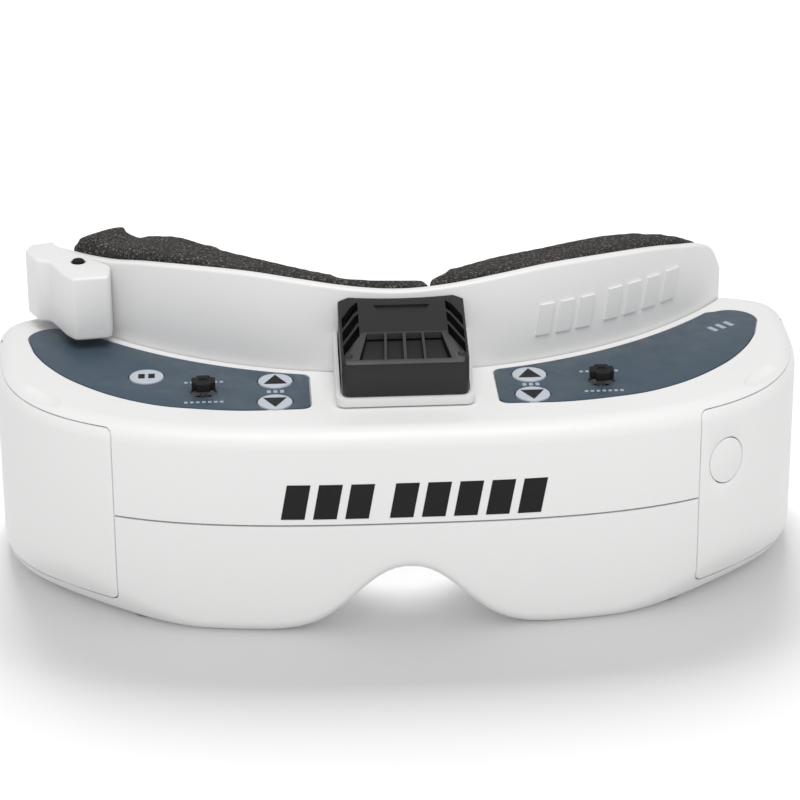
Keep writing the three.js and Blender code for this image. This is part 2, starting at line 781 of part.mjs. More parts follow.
for (const [key, name] of Object.entries(BUTTON_NAMES)) {
  const cap = join(
    disc(BUTTON_RADIUS, 46.4, BODY_TOP + BUTTON_PROUD),
    disc(BUTTON_RADIUS + 0.6, 46, 47),
    disc(1.2, BOARD_Z + BOARD_THICKNESS + 1.2, 46.2, 0, 0, 12),
  );
  const [x, y] = SIDE_BUTTONS[key];
  addPiece(name, cap, "button_plastic").position.set(x, y, 0);
}

// ---------------------------------------------------------------- five-way sticks

for (const [side, word] of [
  [-1, "left"],
  [1, "right"],
]) {
  const stick = new THREE.Group();
  stick.position.set(side * STICK.x, STICK.y, STICK.pivotZ);
  goggles.add(stick);
  const housing = cut(block(-4.5, 4.5, -4.5, 4.5, -2.3, 2.1), block(-3.8, 3.8, -3.8, 3.8, -1.5, 4));
  const ring = cut(block(-3.2, 3.2, -3.2, 3.2, -0.5, 0.5), block(-2, 2, -2, 2, -2, 2));
  const stem = join(disc(1.1, -0.9, 6.2, 0, 0, 12), disc(1.5, -0.6, 0.6, 0, 0, 12));
  const cap = cut(
    join(
      slab(roundedRectangle(-2.7, 2.7, -1.6, 1.6, 0.5), 5.8, 7.6, 1),
      slab(roundedRectangle(-1.6, 1.6, -2.7, 2.7, 0.5), 5.8, 7.6, 1),
      disc(2.2, 5.8, 7.4),
    ),
    disc(1.5, 5, 6.8, 0, 0, 12),
  );
  addPiece(`${word}_stick_switch`, housing, "black_plastic", stick);
  addPiece(`${word}_stick_ring`, ring, "steel", stick);
  addPiece(`${word}_stick_stem`, stem, "steel", stick);
  addPiece(`${word}_stick_cap`, cap, "black_rubber", stick);
}

// ---------------------------------------------------------------- circuit boards and radio modules

for (const [side, word] of [
  [-1, "left"],
  [1, "right"],
]) {
  const outline = [
    [24, 13],
    [53, 13],
    [53, 24],
    [64, 30],
    [64, 39],
    [52, 39],
    [44, 33],
    [24, 33],
  ].map(([x, y]) => [side * x, y]);
  const shape = polygon(side > 0 ? outline : outline.toReversed());
  addPiece(`${word}_button_board`, slab(shape, BOARD_Z, BOARD_Z + BOARD_THICKNESS), "circuit_board");
}

addPiece("main_board", block(-20, 20, 6, 30, 43.6, 44.8), "circuit_board");
addPiece("receiver_module", block(67, 79, 26, 53, 6, 42), "module_shield");
addPiece("tracker_module", block(-79, -67, 28, 50, 20, 40), "module_shield");

// ---------------------------------------------------------------- optics

function opticHousing() {
  const body = block(-11.5, 11.5, 10.6, 24, EYE_Z - 10.5, EYE_Z + 9.7);
  const lug = block(-9, 9, 10.6, 24.4, EYE_Z + 9, RAIL_Z + 2.4);
  const barrel = rod(BARREL_RADIUS, [0, 22, EYE_Z], [0, 38.6, EYE_Z], 20);
  const bore = rod(LENS_RADIUS - 1.4, [0, 13, EYE_Z], [0, 45, EYE_Z], 16);
  const lensSeat = rod(LENS_RADIUS + GAP, [0, 32, EYE_Z], [0, 45, EYE_Z], 20);
  const displayPocket = block(-8.4, 8.4, 8, 13.5, EYE_Z - 6.4, EYE_Z + 6.4);
  const railBores = RAIL_YS.map((y) =>
    rod(RAIL_RADIUS + GAP, [-20, y, RAIL_Z], [20, y, RAIL_Z], 10),
  );
  return cut(join(body, lug, barrel), bore, lensSeat, displayPocket, ...railBores);
}

function eyeLens() {
  const points = [[0, 32.4], [6, 32.7], [LENS_RADIUS, 33.6], [LENS_RADIUS, 35.6], [6, 37.2], [0, 37.8]];
  const profile = points.map(([radius, y]) => new THREE.Vector2(radius, y));
  // The profile turns about Y, which is the optical axis.
  return solidOf(new THREE.LatheGeometry(profile, 20)).translate([0, 0, EYE_Z]);
}

for (const [side, word] of [
  [-1, "left"],
  [1, "right"],
]) {
  const module = new THREE.Group();
  module.position.set(side * EYE_X, 0, 0);
  goggles.add(module);
  const ring = cut(
    rod(12, [0, 38.9, EYE_Z], [0, 41, EYE_Z], 20),
    rod(8.4, [0, 38, EYE_Z], [0, 42, EYE_Z], 20),
  );
  const sliderStem = block(-1.5, 1.5, 15.5, 18.5, 1.5, EYE_Z - 10.5 - GAP);
  const slider = join(sliderStem, block(-4, 4, 14.2, 19.8, 0.9, 2.4));
  addPiece(`${word}_optic_housing`, opticHousing(), "black_plastic", module);
  addPiece(`${word}_display`, block(-8, 8, 10.9, 12.7, EYE_Z - 6, EYE_Z + 6), "black_plastic", module);
  addPiece(`${word}_lens`, eyeLens(), "lens_glass", module);
  addPiece(`${word}_eyepiece_ring`, ring, "black_rubber", module);
  addPiece(`${word}_ipd_slider`, slider, "black_plastic", module);
}

RAIL_YS.forEach((y, i) => {
  const rail = rod(RAIL_RADIUS, [-RAIL_HALF_LENGTH, y, RAIL_Z], [RAIL_HALF_LENGTH, y, RAIL_Z], 12);
  addPiece(`${i ? "rear" : "front"}_ipd_rail`, rail, "steel");
});

function opticsChassis() {
  const front = block(-CHASSIS_HALF_WIDTH, CHASSIS_HALF_WIDTH, 7.6, 9.4, 34, 41.2);
  const blocks = [-CHASSIS_HALF_WIDTH, -2, CHASSIS_HALF_WIDTH - 4].map((x) =>
    block(x, x + 4, 9, 25, 36, 41.2),
  );
  const bores = RAIL_YS.map((y) =>
    rod(RAIL_RADIUS + GAP, [-RAIL_HALF_LENGTH - 3, y, RAIL_Z], [RAIL_HALF_LENGTH + 3, y, RAIL_Z], 10),
  );
  return cut(join(front, ...blocks), ...bores);
}

addPiece("optics_chassis", opticsChassis(), "black_plastic");

// ---------------------------------------------------------------- sockets

function roundSocket([x, y], radius, boreRadius) {
  return cut(disc(radius, 1, 11, x, y, 20), disc(boreRadius, 0, 9, x, y, 16));
}

const dcSocket = join(roundSocket(PORTS.dc, 3, 2.5), disc(0.7, 2, 10.5, ...PORTS.dc, 12));
addPiece("dc_power_socket", dcSocket, "black_plastic");
addPiece("av_socket", roundSocket(PORTS.av, 2.4, 1.75), "black_plastic");
addPiece("earphone_socket", roundSocket(PORTS.earphone, 2.4, 1.75), "black_plastic");
addPiece("video_input_socket", cut(
  block(81, 85, 33.8, 45.2, 1, 8),
  block(81.6, 84.4, 34.5, 44.5, 0, 6.5),
), "steel");
addPiece("card_socket", cut(
  block(52, 66, 26.6, 30.4, 2.6, 20),
  block(53.2, 64.8, 27.7, 29.3, 0, 18.6),
), "steel");
addPiece("memory_card", block(53.5, 64.5, 28, 29, 1, 16), "black_plastic");

// ---------------------------------------------------------------- origin

const bounds = new THREE.Box3().setFromObject(goggles);
const middle = bounds.getCenter(new THREE.Vector3());
goggles.position.set(-middle.x, -middle.y, -bounds.min.z);

export default goggles;
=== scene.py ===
"""Video goggles: the fine surfaces, finishes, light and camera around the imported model."""

import math

import bmesh
import bpy
from mathutils import Matrix, Vector


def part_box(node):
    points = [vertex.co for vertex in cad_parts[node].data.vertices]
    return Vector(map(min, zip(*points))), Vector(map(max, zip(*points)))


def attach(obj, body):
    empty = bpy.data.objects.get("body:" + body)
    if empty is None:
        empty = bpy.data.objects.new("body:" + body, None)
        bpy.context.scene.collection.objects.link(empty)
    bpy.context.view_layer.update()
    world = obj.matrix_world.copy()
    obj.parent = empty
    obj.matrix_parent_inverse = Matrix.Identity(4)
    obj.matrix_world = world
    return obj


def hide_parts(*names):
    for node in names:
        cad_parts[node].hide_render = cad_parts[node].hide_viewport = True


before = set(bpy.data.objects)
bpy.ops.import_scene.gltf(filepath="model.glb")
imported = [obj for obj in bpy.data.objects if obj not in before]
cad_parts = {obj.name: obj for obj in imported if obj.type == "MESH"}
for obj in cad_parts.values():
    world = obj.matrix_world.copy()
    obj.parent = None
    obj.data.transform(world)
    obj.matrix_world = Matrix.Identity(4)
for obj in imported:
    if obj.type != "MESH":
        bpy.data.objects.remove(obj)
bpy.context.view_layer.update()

# ------------------------------------------------------------------ sizes, in millimetres
# Pieces are modelled in millimetres in the body's own frame: X across the face, Y from the front
# wall back to the face, Z up. place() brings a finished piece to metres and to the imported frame.

FRONT_WALL_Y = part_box("top_shell")[0].y
BODY_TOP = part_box("top_shell")[1].z * 1000
GAP = 0.3
WALL = 2.0

HALF_WIDTH = 94.3
WIDEST_Y = 60.0
REAR_DEPTH = 20.0
FRONT_POWER = 2.9
REAR_POWER = 4.0
TOP_FILLET = 4.5
BOTTOM_FILLET = 5.5
MIDDLE_ROLL = 3.0  # radius of the bottom edge at the middle, before it grows towards the ends
END_ROLL = 15.0
ROLL_SPAN = (46, 84)
SOCKET_ROLL = 7.5  # radius beside the sockets of the underside, which sit on its flat
SOCKET_SPAN = (8, 42)
SEAM_Z = 27.3
SEAM_GAP = 0.46
MIDDLE = (0.0, 45.0)  # the point that the rings of the underside shrink towards

ARCH_HEIGHT = 15.2
ARCH_HEIGHT_GROWTH = 0.19
ARCH_WIDTH = 15.6
ARCH_WIDTH_GROWTH = 0.08
ARCH_POWER = 2.3
ARCH_REACH = 42  # how far back the arch still grows
ARCH_FADE = 15  # the last stretch before the widest line, over which it dies away

FACE_CENTRE_Y = 133.2
PLATE_RADIUS = 100.0
PLATE_THICKNESS = 2.5

SQUARE_ON = math.radians(32)  # edges sharper than this stay crisp when a piece is smoothed


# ------------------------------------------------------------------ modelling helpers


def activate(piece):
    bpy.ops.object.select_all(action="DESELECT")
    piece.select_set(True)
    bpy.context.view_layer.objects.active = piece


def edit(piece, kind="EDGE"):
    activate(piece)
    bpy.ops.object.mode_set(mode="EDIT")
    bpy.ops.mesh.select_mode(type=kind)


def leave_edit():
    bpy.ops.object.mode_set(mode="OBJECT")


def pick(piece, kind, test):
    """In edit mode, selects only the faces or edges that pass a test."""
    mesh = bmesh.from_edit_mesh(piece.data)
    mesh.select_mode = {"FACE"} if kind == "FACE" else {"EDGE"}
    for part in (*mesh.verts, *mesh.edges, *mesh.faces):
        part.select = False
    for part in mesh.faces if kind == "FACE" else mesh.edges:
        if test(part):
            part.select_set(True)
    bmesh.update_edit_mesh(piece.data)


def level_at(z, slack=1e-3):
    """A test for edges that lie in one level plane."""
    return lambda edge: all(abs(v.co.z - z) < slack for v in edge.verts)


def crease_over(angle, near=lambda point: True):
    """A test for edges whose faces meet at more than an angle, where they pass a second test."""

    def test(edge):
        if len(edge.link_faces) != 2 or edge.calc_face_angle(0) < angle:
            return False
        return near((edge.verts[0].co + edge.verts[1].co) / 2)

    return test


def ring_of(name, points):
    """A closed loop of edges through points in space."""
    bpy.ops.object.select_all(action="DESELECT")
    bpy.ops.mesh.primitive_circle_add(vertices=len(points), radius=1, fill_type="NOTHING")
    piece = bpy.context.object
    piece.name = name
    piece.data.name = name
    for vertex, point in zip(piece.data.vertices, points):
        vertex.co = point
    return piece


def prism(name, outline, low, high):
    """A plan outline raised from one height to another."""
    piece = ring_of(name, [(x, y, low) for x, y in outline])
    edit(piece)
    bpy.ops.mesh.select_all(action="SELECT")
    bpy.ops.mesh.edge_face_add()
    bpy.ops.mesh.extrude_region_move(TRANSFORM_OT_translate={"value": (0, 0, high - low)})
    bpy.ops.mesh.select_all(action="SELECT")
    bpy.ops.mesh.normals_make_consistent(inside=False)
    leave_edit()
    return piece


def turned_up(piece):
    """Turns a prism whose plan was drawn in X and Z so that its outline faces along Y."""
    piece.data.transform(Matrix(((1, 0, 0, 0), (0, 0, -1, 0), (0, 1, 0, 0), (0, 0, 0, 1))))
    return piece


def wall_prism(name, outline, near, far):
    """A front view outline, drawn in X and Z, from one depth to another."""
    return turned_up(prism(name, outline, -far, -near))


def hull(name, points):
    """The smallest solid with flat faces round some points."""
    piece = ring_of(name, points)
    edit(piece, "VERT")
    bpy.ops.mesh.select_all(action="SELECT")
    bpy.ops.mesh.convex_hull()
    bpy.ops.mesh.select_all(action="SELECT")
    bpy.ops.mesh.delete_loose()
    bpy.ops.mesh.select_all(action="SELECT")
    bpy.ops.mesh.normals_make_consistent(inside=False)
    leave_edit()
    return piece


def cuboid(name, x0, x1, y0, y1, z0, z1):
    corners = [(x0, y0), (x1, y0), (x1, y1), (x0, y1)]
    return prism(name, corners, z0, z1)


def circle_points(radius, count, x=0.0, y=0.0):
    turns = [2 * math.pi * i / count for i in range(count)]
    return [(x + radius * math.cos(t), y + radius * math.sin(t)) for t in turns]


def disc(name, radius, low, high, x=0.0, y=0.0, sides=48):
    return prism(name, circle_points(radius, sides, x, y), low, high)


def rounded_rectangle(x0, x1, y0, y1, radius, steps=6):
    corners = [(x1, y0, -90), (x1, y1, 0), (x0, y1, 90), (x0, y0, 180)]
    points = []
    for x, y, start in corners:
        cx = x - radius if x == x1 else x + radius
        cy = y - radius if y == y1 else y + radius
        for i in range(steps + 1):
            turn = math.radians(start + 90 * i / steps)
            points.append((cx + radius * math.cos(turn), cy + radius * math.sin(turn)))
    return points


def curve_through(points, steps):
    """Points along a smooth curve through others, ends included."""
    ends = [points[0], *points, points[-1]]
    curve = []
    for a, b, c, d in zip(ends, ends[1:], ends[2:], ends[3:]):
        for i in range(steps):
            t = i / steps
            weights = (
                -0.5 * t**3 + t**2 - 0.5 * t,
                1.5 * t**3 - 2.5 * t**2 + 1,
                -1.5 * t**3 + 2 * t**2 + 0.5 * t,
                0.5 * t**3 - 0.5 * t**2,
            )
            near = list(zip(weights, (a, b, c, d)))
            curve.append(tuple(sum(weight * point[k] for weight, point in near) for k in (0, 1)))
    return [*curve, points[-1]]


def copy_of(piece, name):
    twin = piece.copy()
    twin.data = piece.data.copy()
    twin.name = name
    twin.data.name = name
    bpy.context.collection.objects.link(twin)
    return twin


def mirrored(piece, name=None):
    """The piece itself, or a named copy of it, on the other side of the body."""
    twin = copy_of(piece, name) if name else piece
    twin.data.transform(Matrix.Diagonal((-1, 1, 1, 1)))
    edit(twin)
    bpy.ops.mesh.select_all(action="SELECT")
    bpy.ops.mesh.normals_make_consistent(inside=False)
    leave_edit()
    return twin


def joined(name, *pieces):
    """Several separate solids as one tool or one piece."""
    activate(pieces[0])
    for piece in pieces:
        piece.select_set(True)
    if len(pieces) > 1:
        bpy.ops.object.join()
    pieces[0].name = name
    return pieces[0]


def combine(piece, tool, operation, keep_tool=False):
    modifier = piece.modifiers.new("combine", "BOOLEAN")
    modifier.operation = operation
    modifier.object = tool
    modifier.solver = "EXACT"
    activate(piece)
    bpy.ops.object.modifier_apply(modifier=modifier.name)
    if not keep_tool:
        bpy.data.objects.remove(tool)
    return piece


def cut(piece, *tools):
    for tool in tools:
        combine(piece, tool, "DIFFERENCE")
    return piece


def soften(piece, width, steps=2, angle=math.radians(40), near=lambda point: True):
    """Rounds the edges where faces meet sharply."""
    edit(piece)
    pick(piece, "EDGE", crease_over(angle, near))
    bpy.ops.mesh.bevel(
        offset=width, segments=steps, profile=0.5, affect="EDGES", clamp_overlap=True
    )
    leave_edit()
    return piece


def place(piece, material, replaces=(), body="root"):
    """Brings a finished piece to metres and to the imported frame, and fixes it to its body."""
    piece.data.transform(Matrix.Translation((0, FRONT_WALL_Y, 0)) @ Matrix.Scale(0.001, 4))
    piece.data.materials.clear()
    piece.data.materials.append(material)
    activate(piece)
    bpy.ops.object.shade_smooth_by_angle(angle=SQUARE_ON)
    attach(piece, body)
    if replaces:
        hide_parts(*replaces)
    return piece


# ------------------------------------------------------------------ finishes


class Finish:
    """A procedural material and the few node steps that all of them share."""

    def __init__(self, name, colour, roughness, **constants):
        self.material = bpy.data.materials.new(name)
        self.material.use_nodes = True
        self.nodes = self.material.node_tree.nodes
        self.links = self.material.node_tree.links
        self.shader = self.nodes["Principled BSDF"]
        self.shader.inputs["Base Color"].default_value = (*colour, 1)
        self.shader.inputs["Roughness"].default_value = roughness
        for socket, value in constants.items():
            self.shader.inputs[socket.replace("_", " ")].default_value = value
        self.place = self.nodes.new("ShaderNodeTexCoord").outputs["Object"]
        self.bump = None

    def noise(self, scale, detail=3.0, stretch=(1, 1, 1)):
        """A noise whose features are about 1/scale metres across."""
        mapping = self.nodes.new("ShaderNodeMapping")
        mapping.inputs["Scale"].default_value = stretch
        self.links.new(self.place, mapping.inputs["Vector"])
        noise = self.nodes.new("ShaderNodeTexNoise")
        noise.inputs["Scale"].default_value = scale
        noise.inputs["Detail"].default_value = detail
        self.links.new(mapping.outputs["Vector"], noise.inputs["Vector"])
        return noise.outputs["Fac"]

    def cells(self, scale, feature="F1"):
        cells = self.nodes.new("ShaderNodeTexVoronoi")
        cells.feature = feature
        cells.inputs["Scale"].default_value = scale
        self.links.new(self.place, cells.inputs["Vector"])
        return cells.outputs["Distance"]

    def between(self, factor, low, high, start=0.35, end=0.65):
        """Maps a pattern to a range of values."""
        ranged = self.nodes.new("ShaderNodeMapRange")
        ends = {"From Min": start, "From Max": end, "To Min": low, "To Max": high}
        for socket, value in ends.items():
            ranged.inputs[socket].default_value = value
        self.links.new(factor, ranged.inputs["Value"])
        return ranged.outputs["Result"]

    def blend(self, factor, first, second):
        mix = self.nodes.new("ShaderNodeMix")
        mix.data_type = "RGBA"
        for socket, value in ((mix.inputs[6], first), (mix.inputs[7], second)):
            if isinstance(value, tuple):
                socket.default_value = (*value, 1)
            else:
                self.links.new(value, socket)
        self.links.new(factor, mix.inputs[0])
        return mix.outputs[2]

    def colour(self, value):
        self.links.new(value, self.shader.inputs["Base Color"])

    def roughness(self, value):
        self.links.new(value, self.shader.inputs["Roughness"])

    def raise_by(self, height, distance, strength=1.0):
        """Adds a bump pattern on top of the ones before it."""
        bump = self.nodes.new("ShaderNodeBump")
        bump.inputs["Distance"].default_value = distance
        bump.inputs["Strength"].default_value = strength
        self.links.new(height, bump.inputs["Height"])
        if self.bump:
            self.links.new(self.bump, bump.inputs["Normal"])
        self.bump = bump.outputs["Normal"]
        self.links.new(self.bump, self.shader.inputs["Normal"])


def moulded_plastic(
    name, colour, roughness, grain=0.00002, grain_scale=2600, variation=0.03, **constants
):
    """Plastic from a lightly eroded mould: fine grain, faint flow and a little uneven gloss."""
    finish = Finish(name, colour, roughness, **constants)
    flow = finish.noise(14, 2)
    darker = tuple(c * (1 - variation) for c in colour)
    lighter = tuple(min(c * (1 + variation), 1) for c in colour)
    finish.colour(finish.blend(finish.between(flow, 0, 1), darker, lighter))
    gloss = finish.noise(60, 4)
    finish.roughness(finish.between(gloss, roughness - 0.04, roughness + 0.05))
    finish.raise_by(finish.noise(grain_scale, 2), grain, 0.5)
    return finish.material


def printed_film(name, colour):
    """Screen-printed polyester film: an even tint with a faint orange peel."""
    finish = Finish(name, colour, 0.42, Specular_IOR_Level=0.3)
    tint = finish.noise(25, 3)
    deeper = tuple(c * 0.93 for c in colour)
    finish.colour(finish.blend(finish.between(tint, 0, 1), deeper, colour))
    finish.roughness(finish.between(finish.noise(220, 3), 0.36, 0.48))
    finish.raise_by(finish.noise(1500, 2), 0.00002, 0.4)
    return finish.material


def open_cell_foam(name):
    """Charcoal foam: pores darkened with painted shade between paler cell walls, and pale specks of
    painted glint where the walls catch the light.
    """
    finish = Finish(name, (0.06, 0.055, 0.052), 0.95)
    pores = finish.cells(1500)
    specks = finish.noise(1900, 2)
    patches = finish.noise(120, 3)
    # painted shade: the pores are darker towards their middles, as shade falls in them
    depth = finish.between(pores, 0, 1, 0.15, 0.75)
    body = finish.blend(depth, (0.008, 0.0075, 0.007), (0.05, 0.045, 0.041))
    # painted glints: pale specks stand for cell walls that catch the light
    painted_glint_mask = finish.between(specks, 0, 1, 0.57, 0.68)
    speckled = finish.blend(painted_glint_mask, body, (0.24, 0.22, 0.2))
    worn = finish.blend(finish.between(patches, 0, 0.25), speckled, (0.05, 0.047, 0.044))
    finish.colour(worn)
    finish.raise_by(pores, 0.0006, 1.0)
    finish.raise_by(specks, 0.0003, 0.8)
    return finish.material


def brushed_metal(name, colour, roughness):
    finish = Finish(name, colour, roughness, Metallic=1.0)
    lines = finish.noise(900, 3, (1, 0.05, 1))
    finish.roughness(finish.between(lines, roughness - 0.06, roughness + 0.1))
    finish.raise_by(lines, 0.00001, 0.5)
    return finish.material


def circuit_green(name):
    finish = Finish(name, (0.012, 0.09, 0.045), 0.35)
    traces = finish.cells(420, "DISTANCE_TO_EDGE")
    mask = finish.between(traces, 1, 0, 0.02, 0.09)
    finish.colour(finish.blend(mask, (0.01, 0.07, 0.035), (0.03, 0.16, 0.07)))
    finish.raise_by(traces, 0.00003, 0.5)
    return finish.material


def coated_glass(name):
    tint = (0.93, 0.96, 0.98)
    finish = Finish(name, tint, 0.03, Transmission_Weight=0.9, IOR=1.5, Coat_Weight=0.6)
    finish.roughness(finish.between(finish.noise(30, 2), 0.02, 0.05))
    return finish.material


WHITE = moulded_plastic("white_plastic", (0.8, 0.797, 0.793), 0.42, variation=0.006)
BLACK = moulded_plastic(
    "black_plastic", (0.018, 0.018, 0.019), 0.5, grain=0.00004, grain_scale=1800
)
COVER_FINISH = moulded_plastic(
    "cover_plastic",
    (0.0085, 0.0085, 0.009),
    0.4,
    grain=0.00003,
    grain_scale=2200,
    Specular_IOR_Level=0.42,
)
FILM = printed_film("label_film", (0.054, 0.083, 0.113))
PALE = moulded_plastic("button_plastic", (0.5, 0.54, 0.6), 0.4, variation=0.015)
# black ink for the print, also used as painted shade on the sheet inside the fan cover
INK_AND_PAINTED_SHADE = moulded_plastic("black_ink_and_painted_shade", (0.006, 0.006, 0.007), 0.5, Specular_IOR_Level=0.25)
PALE_INK = moulded_plastic("pale_ink", (0.36, 0.42, 0.48), 0.5)
RUBBER = moulded_plastic(
    "black_rubber",
    (0.008, 0.008, 0.008),
    0.68,
    grain=0.00005,
    grain_scale=1400,
    Specular_IOR_Level=0.25,
)
FOAM = open_cell_foam("foam")
GLASS = coated_glass("lens_glass")
SCREEN = moulded_plastic("display_glass", (0.008, 0.009, 0.012), 0.08, variation=0.1)
BOARD = circuit_green("circuit_board")
STEEL = brushed_metal("steel", (0.6, 0.61, 0.62), 0.3)
SHIELD = brushed_metal("module_shield", (0.66, 0.67, 0.68), 0.38)


# ------------------------------------------------------------------ body form


def body_outline(inset, count=240):
    """The plan of the body at even steps along its edge, shrunk by an inset."""
    rough = []
    for i in range(4000):
        turn = 2 * math.pi * i / 4000
        across, along = math.cos(turn), math.sin(turn)
        power = 2 / (FRONT_POWER if along < 0 else REAR_POWER)
        depth = (WIDEST_Y if along < 0 else REAR_DEPTH) - inset
        x = (HALF_WIDTH - inset) * math.copysign(abs(across) ** power, across)
        y = WIDEST_Y + depth * math.copysign(abs(along) ** power, along)
        rough.append(Vector((x, y)))
    lengths = [0.0]
    for here, after in zip(rough, [*rough[1:], rough[0]]):
        lengths.append(lengths[-1] + (after - here).length)
    points, k = [], 0
    for i in range(count):
        goal = lengths[-1] * i / count
        while lengths[k + 1] < goal:
            k += 1
        share = (goal - lengths[k]) / (lengths[k + 1] - lengths[k])
        points.append(tuple(rough[k].lerp(rough[(k + 1) % len(rough)], share)))
    return points


def arch_rise(x, y, grow):
    """How far the nose arch lifts the underside at a place in plan."""
    reach = min(max(y, 0), ARCH_REACH)
    height = ARCH_HEIGHT + ARCH_HEIGHT_GROWTH * reach
    width = ARCH_WIDTH + ARCH_WIDTH_GROWTH * reach
    rise = height * math.exp(-((max(abs(x) - grow, 0) / width) ** ARCH_POWER))
    return rise * min(max((WIDEST_Y - y) / ARCH_FADE, 0), 1)


def edge_distance(x, y, inset):
    """How far a place in plan lies inside the body's edge, near enough for the roll."""
    power = FRONT_POWER if y < WIDEST_Y else REAR_POWER
    width = HALF_WIDTH - inset
    depth = (WIDEST_Y if y < WIDEST_Y else REAR_DEPTH) - inset
    across, along = abs(x) / width, abs(y - WIDEST_Y) / depth
    reach = max((across**power + along**power) ** (1 / power), 1e-6)
    slope_x = (across / reach) ** (power - 1) / width
    slope_y = (along / reach) ** (power - 1) / depth
    return max((1 - reach) / math.hypot(slope_x, slope_y), 0)


def eased(value, span):
    """How far a value has come along a span, from 0 to 1, with soft ends."""
    share = min(max((value - span[0]) / (span[1] - span[0]), 0), 1)
    return share * share * (3 - 2 * share)


def roll_height(radius, distance):
    """The height of a rounded bottom edge, at a distance inside it."""
    return radius - math.sqrt(radius**2 - max(radius - distance, 0) ** 2)


def roll_lift(x, y, z, inset):
    """What the body's ends add to the height, where the bottom edge rolls up more and more."""
    end_roll = END_ROLL + (SOCKET_ROLL - END_ROLL) * eased(y, SOCKET_SPAN)
    radius = MIDDLE_ROLL + (end_roll - MIDDLE_ROLL) * eased(abs(x), ROLL_SPAN)
    if z > BOTTOM_FILLET:
        return (radius - BOTTOM_FILLET) * (SEAM_Z - z) / (SEAM_Z - BOTTOM_FILLET)
    distance = edge_distance(x, y, inset)
    lifted = roll_height(max(radius - inset, 0.5), distance)
    return lifted - roll_height(BOTTOM_FILLET - inset, distance)


def body_form(name, inset):
    """The body as a solid: rolled rims, a flat top, and an underside lifted into the nose arch."""
    low, high = inset, BODY_TOP - inset
    form = prism(name, body_outline(inset), low, high)
    edit(form)
    pick(form, "EDGE", level_at(high))
    bpy.ops.mesh.bevel(offset=TOP_FILLET - inset, segments=7, profile=0.5, affect="EDGES")
    pick(form, "EDGE", level_at(low))
    bpy.ops.mesh.bevel(offset=BOTTOM_FILLET - inset, segments=8, profile=0.5, affect="EDGES")
    bpy.ops.mesh.select_mode(type="FACE")
    pick(form, "FACE", lambda face: abs(face.calc_center_median().z - high) < 1e-3)
    bpy.ops.mesh.inset(thickness=0.6)
    pick(form, "FACE", lambda face: abs(face.calc_center_median().z - low) < 1e-3)
    bpy.ops.mesh.inset(thickness=0.6)
    rings = 24
    for ring in range(rings):
        bpy.ops.mesh.extrude_region_move()
        share = (rings - ring) / (rings + 1 - ring)
        bpy.ops.transform.resize(value=(share, share, 1), center_override=(*MIDDLE, low))
    for z in (9, 13, 17, 21, 25):
        bpy.ops.mesh.select_all(action="SELECT")
        bpy.ops.mesh.bisect(plane_co=(0, 0, z), plane_no=(0, 0, 1))
    leave_edit()
    for vertex in form.data.vertices:
        x, y, z = vertex.co
        if z < SEAM_Z:
            share = min((SEAM_Z - z) / (SEAM_Z - BOTTOM_FILLET), 1)
            vertex.co.z += arch_rise(x, y, inset) * share + roll_lift(x, y, z, inset)
    return form


def face_cylinder(name, radius, low, high, sides=360):
    return disc(name, radius, low, high, 0, FACE_CENTRE_Y, sides)


plate_space = face_cylinder("plate_space", PLATE_RADIUS + GAP, -5, 60)
outer_form = cut(body_form("outer_form", 0), plate_space)
inner_form = body_form("inner_form", WALL)
shell_wall = combine(copy_of(outer_form, "shell_wall"), inner_form, "DIFFERENCE", keep_tool=True)


# ------------------------------------------------------------------ bay doors at the ends

DOOR_ANGLE = math.radians(40)  # from the X axis, forwards: the way the doors pull
DOOR_THICKNESS = 1.8
DOOR_SPAN = (49.5, 109)
DOOR_HEIGHTS = (5.8, 48.3)
DOOR_CORNER = 2.2
DOOR_REACH = (-70, -24)
PLUG = {"along": 56.2, "z": 35, "radius": 5.5, "width": 0.8}


def towards_door(piece):
    piece.data.transform(Matrix.Rotation(math.pi / 2 - DOOR_ANGLE, 4, "Z"))
    return piece


def door_prism(grow):
    start, end = DOOR_SPAN[0] - grow, DOOR_SPAN[1] + grow
    low, high = DOOR_HEIGHTS[0] - grow, DOOR_HEIGHTS[1] + grow
    outline = rounded_rectangle(start, end, low, high, DOOR_CORNER + grow, 8)
    return towards_door(wall_prism("door_prism", outline, *DOOR_REACH))


def plug_prism(radius):
    rim = circle_points(radius, 56)
    outline = [(PLUG["along"] + PLUG["width"] * x, PLUG["z"] + z) for x, z in rim]
    return towards_door(wall_prism("plug_prism", outline, *DOOR_REACH))


def door_solid(name):
    door = combine(door_prism(0), outer_form, "INTERSECT", keep_tool=True)
    door.name = door.data.name = name
    core = prism("door_core", body_outline(DOOR_THICKNESS), -5, 60)
    return combine(door, core, "DIFFERENCE")


def door_opening(side):
    opening = door_prism(GAP)
    core = prism("opening_core", body_outline(WALL + 0.1), -5, 60)
    combine(opening, core, "DIFFERENCE")
    return opening if side > 0 else mirrored(opening)


right_door = door_solid("bay_door_right")
left_door = mirrored(right_door, "bay_door_left")
plug = combine(copy_of(right_door, "antenna_cap"), plug_prism(PLUG["radius"]), "INTERSECT")
cut(right_door, plug_prism(PLUG["radius"] + GAP))
for piece in (right_door, left_door):
    soften(piece, 0.25, 2, math.radians(50))
soften(plug, 0.5, 3, math.radians(50))
place(right_door, WHITE, ["right_bay_door"], "right_bay_door")
place(left_door, WHITE, ["left_bay_door"], "left_bay_door")
place(plug, WHITE, ["antenna_plug"], "right_bay_door")


# ------------------------------------------------------------------ control labels

